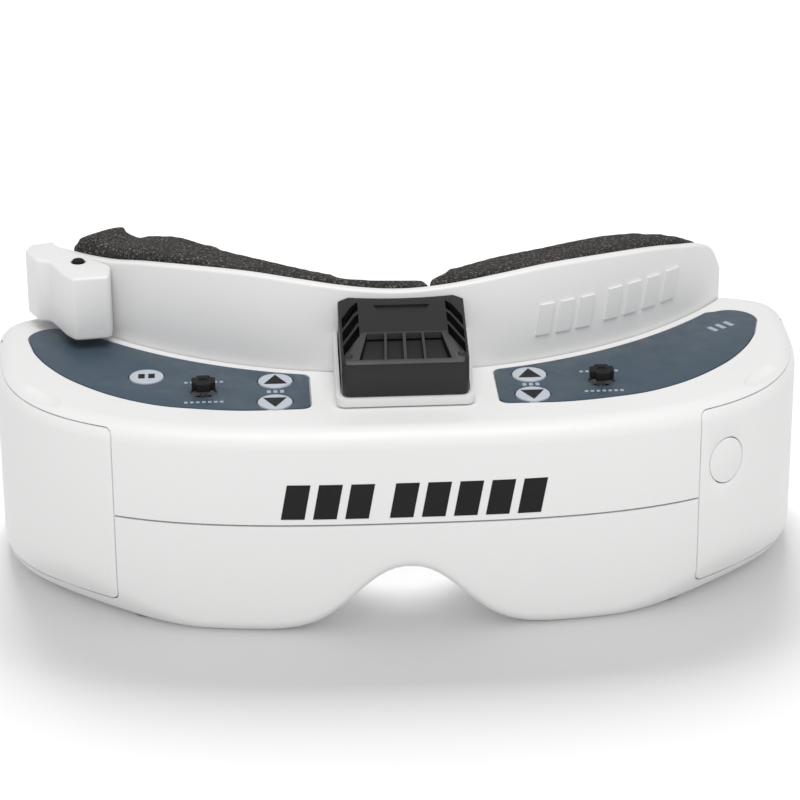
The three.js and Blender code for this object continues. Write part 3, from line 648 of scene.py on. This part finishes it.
LABEL_FLOOR = 49.3
LABEL_BOTTOM = 49.6
LABEL_TOP = 50.1
LABEL_REAR_RADIUS = 102.6
LABEL_INNER_X = 21.4
LABEL_CORNER = 2.4
LABEL_TIP = (80.6, 58.7, 6)
STICK = (45.5, 24.6)
BUTTON_RADIUS = 3.95
BUTTONS = {
    "volume_up": (-29.1, 29.6),
    "volume_down": (-29.4, 17.8),
    "channel_up": (29.3, 29.2),
    "channel_down": (29.1, 18.1),
    "head_tracker": (-58.6, 34.1),
}
QUARTER = [math.radians(90 * i / 5) for i in range(6)]


def label_outline(grow):
    inner = LABEL_INNER_X - grow
    corner = LABEL_CORNER
    rear_radius = LABEL_REAR_RADIUS - grow
    front = [
        (inner + corner, 14.1 - grow),
        (36.3, 14.1 - grow),
        (47.2, 15.9 - grow),
        (56.6, 18.7 - grow),
        (66.4 + 0.7 * grow, 24.7 - 0.7 * grow),
        (75.6 + 0.9 * grow, 33.7 - 0.5 * grow),
        (81.6 + grow, 42.7),
        (84.9 + grow, 50.4),
    ]
    tip_x, tip_y, tip_radius = LABEL_TIP
    turns = [-0.25 + 2.35 * i / 14 for i in range(15)]
    tip = [
        (tip_x + (tip_radius + grow) * math.cos(t), tip_y + (tip_radius + grow) * math.sin(t))
        for t in turns
    ]
    places = [tip_x - 5.4 + (inner + 7.8 - tip_x) * i / 24 for i in range(25)]
    rear = [(x, FACE_CENTRE_Y - math.sqrt(rear_radius**2 - x**2)) for x in places]
    rear_y = rear[-1][1]
    rear_corner = [
        (inner + corner * (1 - math.sin(t)), rear_y - corner * (1 - math.cos(t))) for t in QUARTER
    ]
    front_corner = [
        (inner + corner * (1 - math.cos(t)), 16.5 - grow - corner * math.sin(t))
        for t in QUARTER[:-1]
    ]
    return [*curve_through(front, 5), *tip, *rear, *rear_corner[1:], *front_corner]


def label_prism(side, grow, low, high):
    piece = prism("label", label_outline(grow), low, high)
    return piece if side > 0 else mirrored(piece)


def holes(places, radius, low=44, high=60):
    return [disc("hole", radius, low, high, x, y) for x, y in places]


for side, word in ((-1, "left"), (1, "right")):
    film = label_prism(side, 0, LABEL_BOTTOM, LABEL_TOP)
    film.name = film.data.name = f"{word}_control_label"
    mine = [place_of for place_of in BUTTONS.values() if place_of[0] * side > 0]
    cut(film, *holes(mine, BUTTON_RADIUS + GAP), *holes([(side * STICK[0], STICK[1])], 3))
    soften(film, 0.12, 2, math.radians(50), lambda point: point.z > LABEL_TOP - 0.01)
    place(film, FILM, [f"{word}_label"])


# ------------------------------------------------------------------ body shells

SCREWS = [(side * 60, y) for side in (-1, 1) for y in (14, 44)]
PORTS = [(-83, 52, 3.3), (-83, 41, 2.7), (83, 52, 2.7)]


def both_sides(make):
    return [make(side) for side in (-1, 1)]


def finger_notch(side):
    bpy.ops.object.select_all(action="DESELECT")
    bpy.ops.mesh.primitive_uv_sphere_add(segments=40, ring_count=20, radius=1)
    notch = bpy.context.object
    size = Matrix.Diagonal((3.2, 8.4, 2.2, 1))
    turn = Matrix.Rotation(-0.637, 4, "Z")
    notch.data.transform(Matrix.Translation((82.4, 25, 51.2)) @ turn @ size)
    return notch if side > 0 else mirrored(notch)


def strap_slots(side):
    slots = joined(
        "strap_slots",
        cuboid("side_slot", 88, 96, 66.8, 71.3, 12, 38),
        cuboid("rear_slot", 83.2, 87.7, 71, 84, 12, 38),
    )
    return slots if side > 0 else mirrored(slots)


upper = combine(
    copy_of(shell_wall, "upper_shell"),
    cuboid("upper_half", -100, 100, -5, 90, SEAM_Z + SEAM_GAP / 2, 60),
    "INTERSECT",
)
cut(upper, *both_sides(door_opening))
cut(upper, *both_sides(lambda side: label_prism(side, GAP, LABEL_FLOOR, 60)))
cut(upper, *both_sides(finger_notch), *both_sides(strap_slots))
cut(upper, *holes(BUTTONS.values(), BUTTON_RADIUS + GAP))
cut(upper, *holes([(side * STICK[0], STICK[1]) for side in (-1, 1)], 3.2))
place(upper, WHITE, ["top_shell"])

lower = combine(
    shell_wall, cuboid("lower_half", -100, 100, -5, 90, -5, SEAM_Z - SEAM_GAP / 2), "INTERSECT"
)
lower.name = lower.data.name = "lower_shell"
for x, y in SCREWS:
    combine(lower, disc("boss", 3.6, 1, SEAM_Z - GAP, x, y), "UNION")
cut(lower, *holes(SCREWS, 1.5, -1, 40), *holes(SCREWS, 2.8, -1, 4))
for near, far in ((-39.2, -24.8), (24.8, 39.2)):
    cut(lower, cuboid("slider_slot", near, far, 13.5, 20.5, -1, 8))
cut(lower, *[disc("port", radius, -1, 5, x, y) for x, y, radius in PORTS])
cut(lower, cuboid("video_port", 80.7, 85.3, 33.5, 45.5, -1, 5))
cut(lower, cuboid("card_slot", 52.9, 65.1, 27.6, 29.4, -1, 5))
cut(lower, *both_sides(door_opening), *both_sides(strap_slots))
place(lower, WHITE, ["bottom_shell"])

rear_wall = cut(
    face_cylinder("rear_wall", PLATE_RADIUS + 2.2, 2.6, BODY_TOP - WALL - GAP),
    face_cylinder("rear_wall_bore", PLATE_RADIUS + 2 * GAP, -5, 60),
)
combine(rear_wall, body_form("rear_wall_room", WALL + GAP), "INTERSECT")
for side in (-1, 1):
    eye = rounded_rectangle(side * 32 - 16.6, side * 32 + 16.6, 13, 40, 9, 8)
    cut(rear_wall, wall_prism("eye_hole", eye, 25, 65))
place(rear_wall, BLACK, ["rear_frame"])


# ------------------------------------------------------------------ faceplate

PLATE_HALF_WIDTH = 80
PLATE_BOTTOM = 1.5
PLATE_CORNER = 8
TRAY = {"half": 15.6, "front": 13, "bottom": 50.3, "floor": 51.5, "lip": 52.4, "rear_top": 60}
SEAT = {"half": 14.7, "front": 13.4}


def nose_edge(x):
    return max(27 * math.exp(-((abs(x) / 21) ** 3)), PLATE_BOTTOM)


def plate_outline():
    crown = [(59, 71), (47, 72.4), (35, 72.8), (23, 71.9), (11, 70.6)]
    right = [(PLATE_HALF_WIDTH, 58), (76.5, 65.2), (68, 68.8)]
    left = [(-68, 69), (-PLATE_HALF_WIDTH, 67)]
    top = [*right, *crown, (0, 70), *[(-x, z) for x, z in reversed(crown)], *left]
    turns = [math.radians(-90 + 90 * i / 10) for i in range(11)]
    middle = (PLATE_HALF_WIDTH - PLATE_CORNER, PLATE_BOTTOM + PLATE_CORNER)
    corner = [
        (middle[0] + PLATE_CORNER * math.cos(t), middle[1] + PLATE_CORNER * math.sin(t))
        for t in turns
    ]
    right_bottom = [(x, nose_edge(x)) for x in range(0, 40)]
    left_bottom = [(-x, z) for x, z in reversed(right_bottom[1:])]
    left_corner = [(-x, z) for x, z in reversed(corner)]
    return [*right_bottom, *corner, *curve_through(top, 6), *left_corner, *left_bottom]


def unrolled(outline):
    """A front view outline with X measured along the plate's curve."""
    return [(PLATE_RADIUS * math.asin(x / PLATE_RADIUS), z) for x, z in outline]


def rolled(piece, spacing=2):
    """Bends a flat sheet round the face: Y is the depth into the plate."""
    edit(piece)
    reach = max(abs(v.co.x) for v in piece.data.vertices)
    for step in range(-int(reach / spacing), int(reach / spacing) + 1):
        bpy.ops.mesh.select_all(action="SELECT")
        bpy.ops.mesh.bisect(plane_co=(step * spacing, 0, 0), plane_no=(1, 0, 0))
    leave_edit()
    for vertex in piece.data.vertices:
        along, depth, z = vertex.co
        turn = along / PLATE_RADIUS
        radius = PLATE_RADIUS - depth
        vertex.co = (radius * math.sin(turn), FACE_CENTRE_Y - radius * math.cos(turn), z)
    return piece


plate = wall_prism("faceplate_sheet", unrolled(plate_outline()), 0, PLATE_THICKNESS)
soften(plate, 0.7, 3, math.radians(60))
window = [(57, 9.5), (26.4, 9.5), (12.6, 31), (12.6, 46), (57, 46)]
for side in (-1, 1):
    outline = unrolled([(side * x, z) for x, z in window])
    cut(plate, wall_prism("eye_window", outline, -2, 5))
cut(plate, wall_prism("air_slot", unrolled([(-9, 53), (9, 53), (9, 57.5), (-9, 57.5)]), -2, 5))
rolled(plate)

half, front = TRAY["half"], TRAY["front"]
tray_plan = [*rounded_rectangle(-half, half, front, 60, 2)[:7], (half, 36), (-half, 36)]
tray_plan += rounded_rectangle(-half, half, front, 60, 2)[21:]
tray = prism("tray", tray_plan, TRAY["bottom"], TRAY["rear_top"])
soften(tray, 0.3, 2, math.radians(60), lambda point: point.z < TRAY["bottom"] + 0.01)
slope = prism("tray_slope", [(5, 52.4), (15.5, 52.4), (33, 60), (33, 80), (5, 80)], -20, 20)
slope.data.transform(Matrix(((0, 0, 1, 0), (1, 0, 0, 0), (0, 1, 0, 0), (0, 0, 0, 1))))
edit(slope)
bpy.ops.mesh.select_all(action="SELECT")
bpy.ops.mesh.normals_make_consistent(inside=False)
leave_edit()
cut(tray, slope)
cut(tray, cuboid("cover_seat", -SEAT["half"], SEAT["half"], SEAT["front"], 40, TRAY["lip"], 70))
cut(tray, cuboid("tray_hollow", -12.9, 12.9, 15.2, 40, TRAY["floor"], 70))
cut(tray, face_cylinder("plate_front", PLATE_RADIUS - 0.5, 40, 80))
combine(plate, tray, "UNION")
place(plate, WHITE, ["faceplate"])


# ------------------------------------------------------------------ generic marks


def slanted_bar(x, low, high, width, lean):
    return [(x, low), (x + width, low), (x + width + lean, high), (x + lean, high)]


def raised_bars(name, bars, depth, rise):
    """A row of bars standing a little proud of the faceplate."""
    pieces = [wall_prism("bar", unrolled(bar), -rise, depth) for bar in bars]
    return rolled(joined(name, *pieces), 1)


plate_bars = [slanted_bar(31.5 + 4.9 * i, 56.2, 63.6, 3.3, 1.2) for i in range(3)]
plate_bars += [slanted_bar(48.2 + 4.9 * i, 56.6, 64, 3.3, 1.2) for i in range(4)]
place(raised_bars("plate_relief", plate_bars, 0.4, 0.5), WHITE)


def front_wall_y(x):
    return WIDEST_Y - WIDEST_Y * (1 - abs(x / HALF_WIDTH) ** FRONT_POWER) ** (1 / FRONT_POWER)


bars = [slanted_bar(-29 + 7.2 * i, 28.9, 37.4, 5.3, 1.5) for i in range(3)]
bars += [slanted_bar(-4.6 + 7.2 * i, 28.9, 37.4, 5.3, 1.5) for i in range(5)]
front_mark = joined("front_stripes", *[wall_prism("bar", bar, -0.06, 0.2) for bar in bars])
edit(front_mark)
for x in range(-30, 34):
    bpy.ops.mesh.select_all(action="SELECT")
    bpy.ops.mesh.bisect(plane_co=(x, 0, 0), plane_no=(1, 0, 0))
leave_edit()
for vertex in front_mark.data.vertices:
    vertex.co.y += front_wall_y(vertex.co.x)
place(front_mark, INK_AND_PAINTED_SHADE)


def printed(name, outlines, height, material, body="root", thickness=0.04):
    """Flat printed shapes on a level face."""
    pieces = [prism("print", outline, height - 0.02, height + thickness) for outline in outlines]
    return place(joined(name, *pieces), material, (), body)


def bar_at(x, y, length, width, turn=0.0):
    c, s = math.cos(turn), math.sin(turn)
    corners = [(-length / 2, -width / 2), (length / 2, -width / 2)]
    corners += [(length / 2, width / 2), (-length / 2, width / 2)]
    return [(x + u * c - v * s, y + u * s + v * c) for u, v in corners]


# ------------------------------------------------------------------ push buttons

BUTTON_TOP = 50.4


def button(name, x, y):
    cap = disc(name, BUTTON_RADIUS, 46.4, BUTTON_TOP, x, y, 56)
    edit(cap)
    pick(cap, "EDGE", level_at(BUTTON_TOP))
    bpy.ops.mesh.bevel(offset=0.3, segments=3, profile=0.5, affect="EDGES")
    bpy.ops.mesh.select_mode(type="FACE")
    pick(cap, "FACE", lambda face: abs(face.calc_center_median().z - BUTTON_TOP) < 1e-3)
    for ring in range(4):
        bpy.ops.mesh.inset(thickness=0.7)
        bpy.ops.transform.translate(value=(0, 0, -0.02))
    leave_edit()
    return cap


def arrow(x, y, way):
    """A triangle that points back or forwards."""
    return [(x - 2.7 * way, y - 2 * way), (x + 2.7 * way, y - 2 * way), (x, y + 3.1 * way)]


for word, (x, y) in BUTTONS.items():
    body = f"{word}_button"
    place(button(f"{word}_cap", x, y), PALE, [body], body)
    if word == "head_tracker":
        outlines = [bar_at(x + step, y, 1.5, 2.4) for step in (-1.15, 1.15)]
    else:
        outlines = [arrow(x, y, 1 if word.endswith("up") else -1)]
    printed(f"{word}_print", outlines, BUTTON_TOP - 0.02, INK_AND_PAINTED_SHADE, body)


def label_marks(side):
    """Small generic dashes beside the buttons and round the stick, and three bars near the tip."""
    x, y = side * STICK[0], STICK[1]
    marks = [bar_at(side * 29.2 + 1.5 * i, 23.8, 0.9, 1.5) for i in (-1, 0, 1)]
    for row in (-5.6, 5.6):
        marks += [bar_at(x + 1.35 * i, y + row, 0.8, 0.9) for i in range(-3, 4)]
    if side > 0:
        lean = math.radians(36)
        marks += [bar_at(75.4 + 2.1 * i, 53.2 + 1.5 * i, 1.3, 2.9, lean) for i in range(3)]
    return marks


for side, word in ((-1, "left"), (1, "right")):
    printed(f"{word}_label_marks", label_marks(side), LABEL_TOP, PALE_INK)


# ------------------------------------------------------------------ five-way sticks


def stick_cap(name, side):
    x, y = side * STICK[0], STICK[1]
    low, high = 51.3, 53.1
    wide = prism(name, rounded_rectangle(x - 2.7, x + 2.7, y - 1.6, y + 1.6, 0.5, 4), low, high)
    deep = prism("deep", rounded_rectangle(x - 1.6, x + 1.6, y - 2.7, y + 2.7, 0.5, 4), low, high)
    combine(wide, deep, "UNION")
    soften(wide, 0.4, 3, math.radians(50))
    cut(wide, disc("dimple", 1.1, high - 0.2, high + 1, x, y, 32))
    cut(wide, disc("bore", 1.4, 50, 52.3, x, y))
    return wide


for side, word in ((-1, "left"), (1, "right")):
    body = f"{word}_stick_cap"
    place(stick_cap(f"{word}_stick_pad", side), RUBBER, [body], body)


# ------------------------------------------------------------------ fan cover

COVER = {"half": 14.4, "front": 13.7, "bottom": 52.7, "band": 60.4, "rear": 69, "wall": 1.2}
RIDGE = {"half": 9.8, "y": 21, "z": 65.4, "rear_half": 12.8, "rear_z": 69.8}
COVER_REAR = 38


def cover_form(name, inset):
    half, front = COVER["half"] - inset, COVER["front"] + inset
    ridge_half = RIDGE["half"] - 0.6 * inset
    rear_half = RIDGE["rear_half"] - 0.6 * inset
    points = []
    for side in (-1, 1):
        points += [
            (side * half, front, COVER["bottom"] - inset),
            (side * half, COVER_REAR, COVER["bottom"] - inset),
            (side * half, front, COVER["band"] - inset),
            (side * half, COVER_REAR, COVER["rear"] - inset),
            (side * ridge_half, RIDGE["y"] + 0.3 * inset, RIDGE["z"] - inset),
            (side * rear_half, COVER_REAR, RIDGE["rear_z"] - inset),
        ]
    return hull(name, points)


def roof_height(y):
    share = (y - RIDGE["y"]) / (COVER_REAR - RIDGE["y"])
    return RIDGE["z"] + share * (RIDGE["rear_z"] - RIDGE["z"])


def cover_slot(side, front_near, front_far, rear_near, rear_far):
    """An opening in the sloping front, between its edges nearer to and farther from the middle."""
    outline = [(front_near, 14.8), (front_far, 14.8), (rear_far, 20.6), (rear_near, 20.6)]
    slot = prism("cover_slot", outline, 57, 72)
    return slot if side > 0 else mirrored(slot)


def cover_gill(side, y):
    outline = [(10, y + 1.5), (13.8, y - 2.4), (13.8, y + 0.8), (10, y + 4.7)]
    gill = prism("gill", outline, 58, 75)
    return gill if side > 0 else mirrored(gill)


cover = cover_form("louvred_cover", 0)
corner_at = lambda point: point.y < COVER["front"] + 0.1 and abs(abs(point.x) - COVER["half"]) < 0.1
soften(cover, 1.8, 6, math.radians(60), corner_at)
soften(cover, 0.3, 2, math.radians(14))
cut(cover, cover_form("cover_hollow", COVER["wall"]))
cut(cover, face_cylinder("cover_end", PLATE_RADIUS + GAP, 40, 80))
for side in (-1, 1):
    cut(cover, cover_slot(side, 0.35, 4.2, 0.35, 3.9), cover_slot(side, 4.75, 10.4, 4.45, 8.4))
cut(cover, *[cover_gill(side, y) for side in (-1, 1) for y in (18.6, 22.9, 27.2)])
recess_floor = [(3.2, 22.6), (6.4, 30.6)]
recess = []
for half, y in recess_floor:
    for side in (-1, 1):
        recess += [(side * half, y, roof_height(y) - 0.5), (side * half, y, roof_height(y) + 3)]
cut(cover, hull("roof_recess", recess))
place(cover, COVER_FINISH, ["fan_cover"])

# painted shade: a thin dark sheet in the black ink finish, just inside the cover behind its slots
# and gills, stands for the shade inside the cover
painted_shade_sheet = cover_form("cover_painted_shade_sheet", COVER["wall"] + 0.5)
cut(painted_shade_sheet, cover_form("painted_shade_sheet_hollow", COVER["wall"] + 1.0))
cut(painted_shade_sheet, face_cylinder("painted_shade_sheet_end", PLATE_RADIUS + GAP, 40, 80))
cut(painted_shade_sheet, cuboid("painted_shade_sheet_low", -20, 20, 5, 40, 40, 58))
place(painted_shade_sheet, INK_AND_PAINTED_SHADE)
for side, word in ((-1, "left"), (1, "right")):
    pin = disc(f"cover_pin_{word}", 0.75, 58, 62.1, side * 12.6, 15.8, 32)
    soften(pin, 0.2, 2, math.radians(60))
    place(pin, BLACK)


# ------------------------------------------------------------------ fan switch

SWITCH = (-74.3, 61.4)
SWITCH_HEIGHTS = (52.6, 68.3)

switch_plan = [
    (-66.6, 58),
    (-66.8, 51.6),
    (-75.2, 50.6),
    (-77.4, 53.6),
    (-81.3, 62.4),
    (-84.4, 63.4),
    (-87.2, 69.8),
    (-86, 73.6),
    (-78, 76),
    (-72, 70),
]
housing = prism("switch_box", switch_plan, *SWITCH_HEIGHTS)
upright = lambda edge: abs(edge.verts[0].co.z - edge.verts[1].co.z) > 5
edit(housing)
pick(housing, "EDGE", upright)
bpy.ops.mesh.bevel(offset=0.9, segments=5, profile=0.5, affect="EDGES")
leave_edit()
soften(housing, 0.7, 4, math.radians(60))
behind = face_cylinder("behind_plate", PLATE_RADIUS + GAP, 40, 80)
cut(behind, cuboid("left_of_plate", -100, -PLATE_HALF_WIDTH - 0.6, 40, 90, 39, 81))
cut(housing, behind)
cut(housing, disc("switch_room", 2.6, 50, 64.9, *SWITCH), disc("button_hole", 1.8, 60, 70, *SWITCH))
socket_room = cuboid("socket_room", -2.4, 2.4, -1.9, 1.9, 50, 62)
socket_turn = Matrix.Rotation(math.radians(-52), 4, "Z")
socket_room.data.transform(Matrix.Translation((-82, 69, 0)) @ socket_turn)
cut(housing, socket_room)
place(housing, WHITE, ["switch_housing"])

press = disc("switch_press", 1.4, 64, 68.9, *SWITCH)
soften(press, 0.35, 3, math.radians(60))
flange = disc("press_flange", 2.2, 63.2, 64.2, *SWITCH)
combine(press, flange, "UNION")
place(press, RUBBER, ["fan_switch_button"], "fan_switch_button")


# ------------------------------------------------------------------ face foam

FOAM_RADIUS = PLATE_RADIUS - PLATE_THICKNESS - GAP
FOAM_VOXEL = 1.3
FOAM_SWELL = 0.6  # the furthest that the foam's skin swells, in millimetres

LEFT_BANDS = [
    [
        (-76.6, 5, 57, 67.2),
        (-74.6, 10, 57, 70.8),
        (-72.4, 11.4, 57, 71.7),
        (-70, 11, 57, 71.3),
        (-67.3, 10.8, 57, 70.8),
        (-62, 12.2, 57, 72.5),
        (-57, 12, 57, 73.2),
        (-52, 11.4, 57, 73),
        (-42.3, 10.6, 57, 72.7),
        (-31, 8.2, 57, 72.6),
        (-20.5, 5.4, 57, 72),
        (-11.8, 4, 57, 71),
        (6.6, 3, 57, 70.5),
    ],
    [(-76.5, 10, 8, 60), (-70, 14, 4, 60), (-61, 12, 3, 60)],
    [(-72, 13, 3, 9), (-50, 11, 3, 9), (-31, 9, 3, 9)],
]
RIGHT_BANDS = [
    [
        (6.9, 3.2, 57, 70.8),
        (12, 6, 57, 71.5),
        (17, 7.4, 57, 72.2),
        (24.4, 9.2, 57, 72.7),
        (34.6, 10.2, 57, 72.7),
        (45, 10.5, 57, 72.7),
        (54.4, 9.4, 57, 72.5),
        (60.4, 7, 57, 71.8),
        (64.5, 5, 57, 71),
        (69, 3.4, 57, 69),
        (73.5, 3, 57, 66),
    ],
    [(61, 8, 3, 60), (70, 8, 4, 60), (76.5, 5, 8, 60)],
    [(31, 9, 3, 9), (50, 9, 3, 9), (72, 7.5, 3, 9)],
]


def foam_corners(stop):
    x, thickness, low, high = stop
    turn = math.asin(x / FOAM_RADIUS)
    return [
        (radius * math.sin(turn), FACE_CENTRE_Y - radius * math.cos(turn), z)
        for radius in (FOAM_RADIUS, FOAM_RADIUS - thickness)
        for z in (low, high)
    ]


def swell(piece):
    """Lets the cut foam bulge a little, as it does when its skin is free."""
    piece.data.transform(Matrix.Scale(0.001, 4))
    resting = [v.co.copy() for v in piece.data.vertices]
    cloth = piece.modifiers.new("swell", "CLOTH")
    cloth.settings.quality = 5
    cloth.settings.use_pressure = True
    cloth.settings.uniform_pressure_force = 2.0
    cloth.settings.tension_stiffness = 40
    cloth.settings.compression_stiffness = 40
    cloth.settings.bending_stiffness = 8
    cloth.settings.effector_weights.gravity = 0
    for moment in range(1, 13):
        bpy.context.scene.frame_set(moment)
    shaped = piece.evaluated_get(bpy.context.evaluated_depsgraph_get())
    moved = [v.co.copy() for v in shaped.data.vertices]
    piece.modifiers.remove(cloth)
    bpy.context.scene.frame_set(1)
    for vertex, start, end in zip(piece.data.vertices, resting, moved):
        way = end - start
        way.length = min(way.length, FOAM_SWELL / 1000)
        vertex.co = start + way
    piece.data.transform(Matrix.Scale(1000, 4))


def foam_strip(name, bands):
    blocks = []
    for stops in bands:
        for start, end in zip(stops, stops[1:]):
            blocks.append(hull("foam_block", foam_corners(start) + foam_corners(end)))
    strip = joined(name, *blocks)
    for kind, settings in (
        ("REMESH", {"mode": "VOXEL", "voxel_size": FOAM_VOXEL}),
        ("SMOOTH", {"factor": 0.5, "iterations": 1}),
    ):
        modifier = strip.modifiers.new(kind.lower(), kind)
        for setting, value in settings.items():
            setattr(modifier, setting, value)
        activate(strip)
        bpy.ops.object.modifier_apply(modifier=modifier.name)
    swell(strip)
    finer = strip.modifiers.new("finer", "SUBSURF")
    finer.levels = finer.render_levels = 1
    activate(strip)
    bpy.ops.object.modifier_apply(modifier=finer.name)
    return strip


for word, bands in (("left", LEFT_BANDS), ("right", RIGHT_BANDS)):
    strip = place(foam_strip(f"{word}_face_foam", bands), FOAM, [f"foam_{word}"])


# ------------------------------------------------------------------ finishes of the inner pieces

INNER = {
    BLACK: ["fan_frame", "fan_rotor", "fan_switch_body", "balance_socket", "optics_chassis"],
    STEEL: ["fan_bearing", "front_ipd_rail", "rear_ipd_rail", "video_input_socket", "card_socket"],
    SHIELD: ["receiver_module", "tracker_module"],
    BOARD: ["main_board", "left_button_board", "right_button_board"],
}
INNER[BLACK] += ["dc_power_socket", "av_socket", "earphone_socket", "memory_card"]
for word in ("left", "right"):
    INNER[STEEL] += [f"{row}_{word}_shell_screw" for row in ("front", "rear")]
    INNER[BLACK] += [f"{word}_stick_switch", f"{word}_optic_housing", f"{word}_ipd_slider"]
    INNER[STEEL] += [f"{word}_stick_ring", f"{word}_stick_stem"]
    INNER.setdefault(SCREEN, []).append(f"{word}_display")
    INNER.setdefault(GLASS, []).append(f"{word}_lens")
    INNER.setdefault(RUBBER, []).append(f"{word}_eyepiece_ring")
for material, names in INNER.items():
    for name in names:
        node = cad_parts[name]
        node.data.materials.clear()
        node.data.materials.append(material)

for form in (outer_form, inner_form):
    bpy.data.objects.remove(form)


# ------------------------------------------------------------------ floor, light and camera

bpy.ops.object.select_all(action="DESELECT")
bpy.ops.mesh.primitive_plane_add(size=9, location=(0, 1.2, 0))
floor = bpy.context.object
floor.name = "floor"
floor_finish = Finish("floor_card", (0.93, 0.93, 0.93), 0.7)
floor_shade = floor_finish.noise(3, 2)
floor_shade = floor_finish.between(floor_shade, 0, 1)
floor_finish.colour(floor_finish.blend(floor_shade, (0.925,) * 3, (0.935,) * 3))
floor.data.materials.append(floor_finish.material)

world = bpy.data.worlds.new("studio")
bpy.context.scene.world = world
world.use_nodes = True
world.node_tree.nodes["Background"].inputs["Color"].default_value = (1, 1, 1, 1)
world.node_tree.nodes["Background"].inputs["Strength"].default_value = 0.62


def soft_light(name, location, target, size, power):
    light = bpy.data.lights.new(name, "AREA")
    light.shape = "SQUARE"
    light.size = size
    light.energy = power
    lamp = bpy.data.objects.new(name, light)
    lamp.location = location
    lamp.rotation_euler = (Vector(target) - Vector(location)).to_track_quat("-Z", "Y").to_euler()
    bpy.context.collection.objects.link(lamp)
    return lamp


def link_floor(lamp, state):
    """Lets a lamp light only the floor, or all but the floor, and returns the floor's group."""
    group = bpy.data.collections.new(f"{lamp.name}_floor")
    group.objects.link(floor)
    group.collection_objects[0].light_linking.link_state = state
    lamp.light_linking.receiver_collection = group
    return group


link_floor(soft_light("front_box", (0, -0.55, 1.35), (0, 0, 0), 0.9, 11.5), "EXCLUDE")
bounce = soft_light("floor_bounce", (0, -0.42, -0.3), (0, 0, 0), 0.8, 0.42)
bounce.light_linking.blocker_collection = link_floor(bounce, "EXCLUDE")
link_floor(soft_light("back_box", (0, 0.95, 1.2), (0, 0, 0), 0.7, 16), "INCLUDE")

CAMERA_ELEVATION = math.radians(24)
CAMERA_YAW = math.radians(-3.265)
CAMERA_ROLL = math.radians(0.327)
CAMERA_DISTANCE = 0.75
AIM = Vector((0, 0.0282 + FRONT_WALL_Y, 0.035))
AIM_OFFSET = (0.0008, -0.01233)
LENS = 145.93

forward = Vector(
    (
        -math.sin(CAMERA_YAW) * math.cos(CAMERA_ELEVATION),
        math.cos(CAMERA_YAW) * math.cos(CAMERA_ELEVATION),
        -math.sin(CAMERA_ELEVATION),
    )
)
level_right = forward.cross(Vector((0, 0, 1))).normalized()
level_up = level_right.cross(forward)
roll = Matrix.Rotation(CAMERA_ROLL, 3, forward)
right, up = roll @ level_right, roll @ level_up
shooting = bpy.data.cameras.new("camera")
shooting.lens = LENS
shooting.sensor_width = 36
camera = bpy.data.objects.new("camera", shooting)
away = (forward + AIM_OFFSET[0] * right + AIM_OFFSET[1] * up) * CAMERA_DISTANCE
turn = Matrix((right, up, -forward)).transposed().to_4x4()
camera.matrix_world = Matrix.Translation(AIM - away) @ turn
bpy.context.collection.objects.link(camera)
bpy.context.scene.camera = camera
bpy.context.scene.view_settings.view_transform = "Standard"
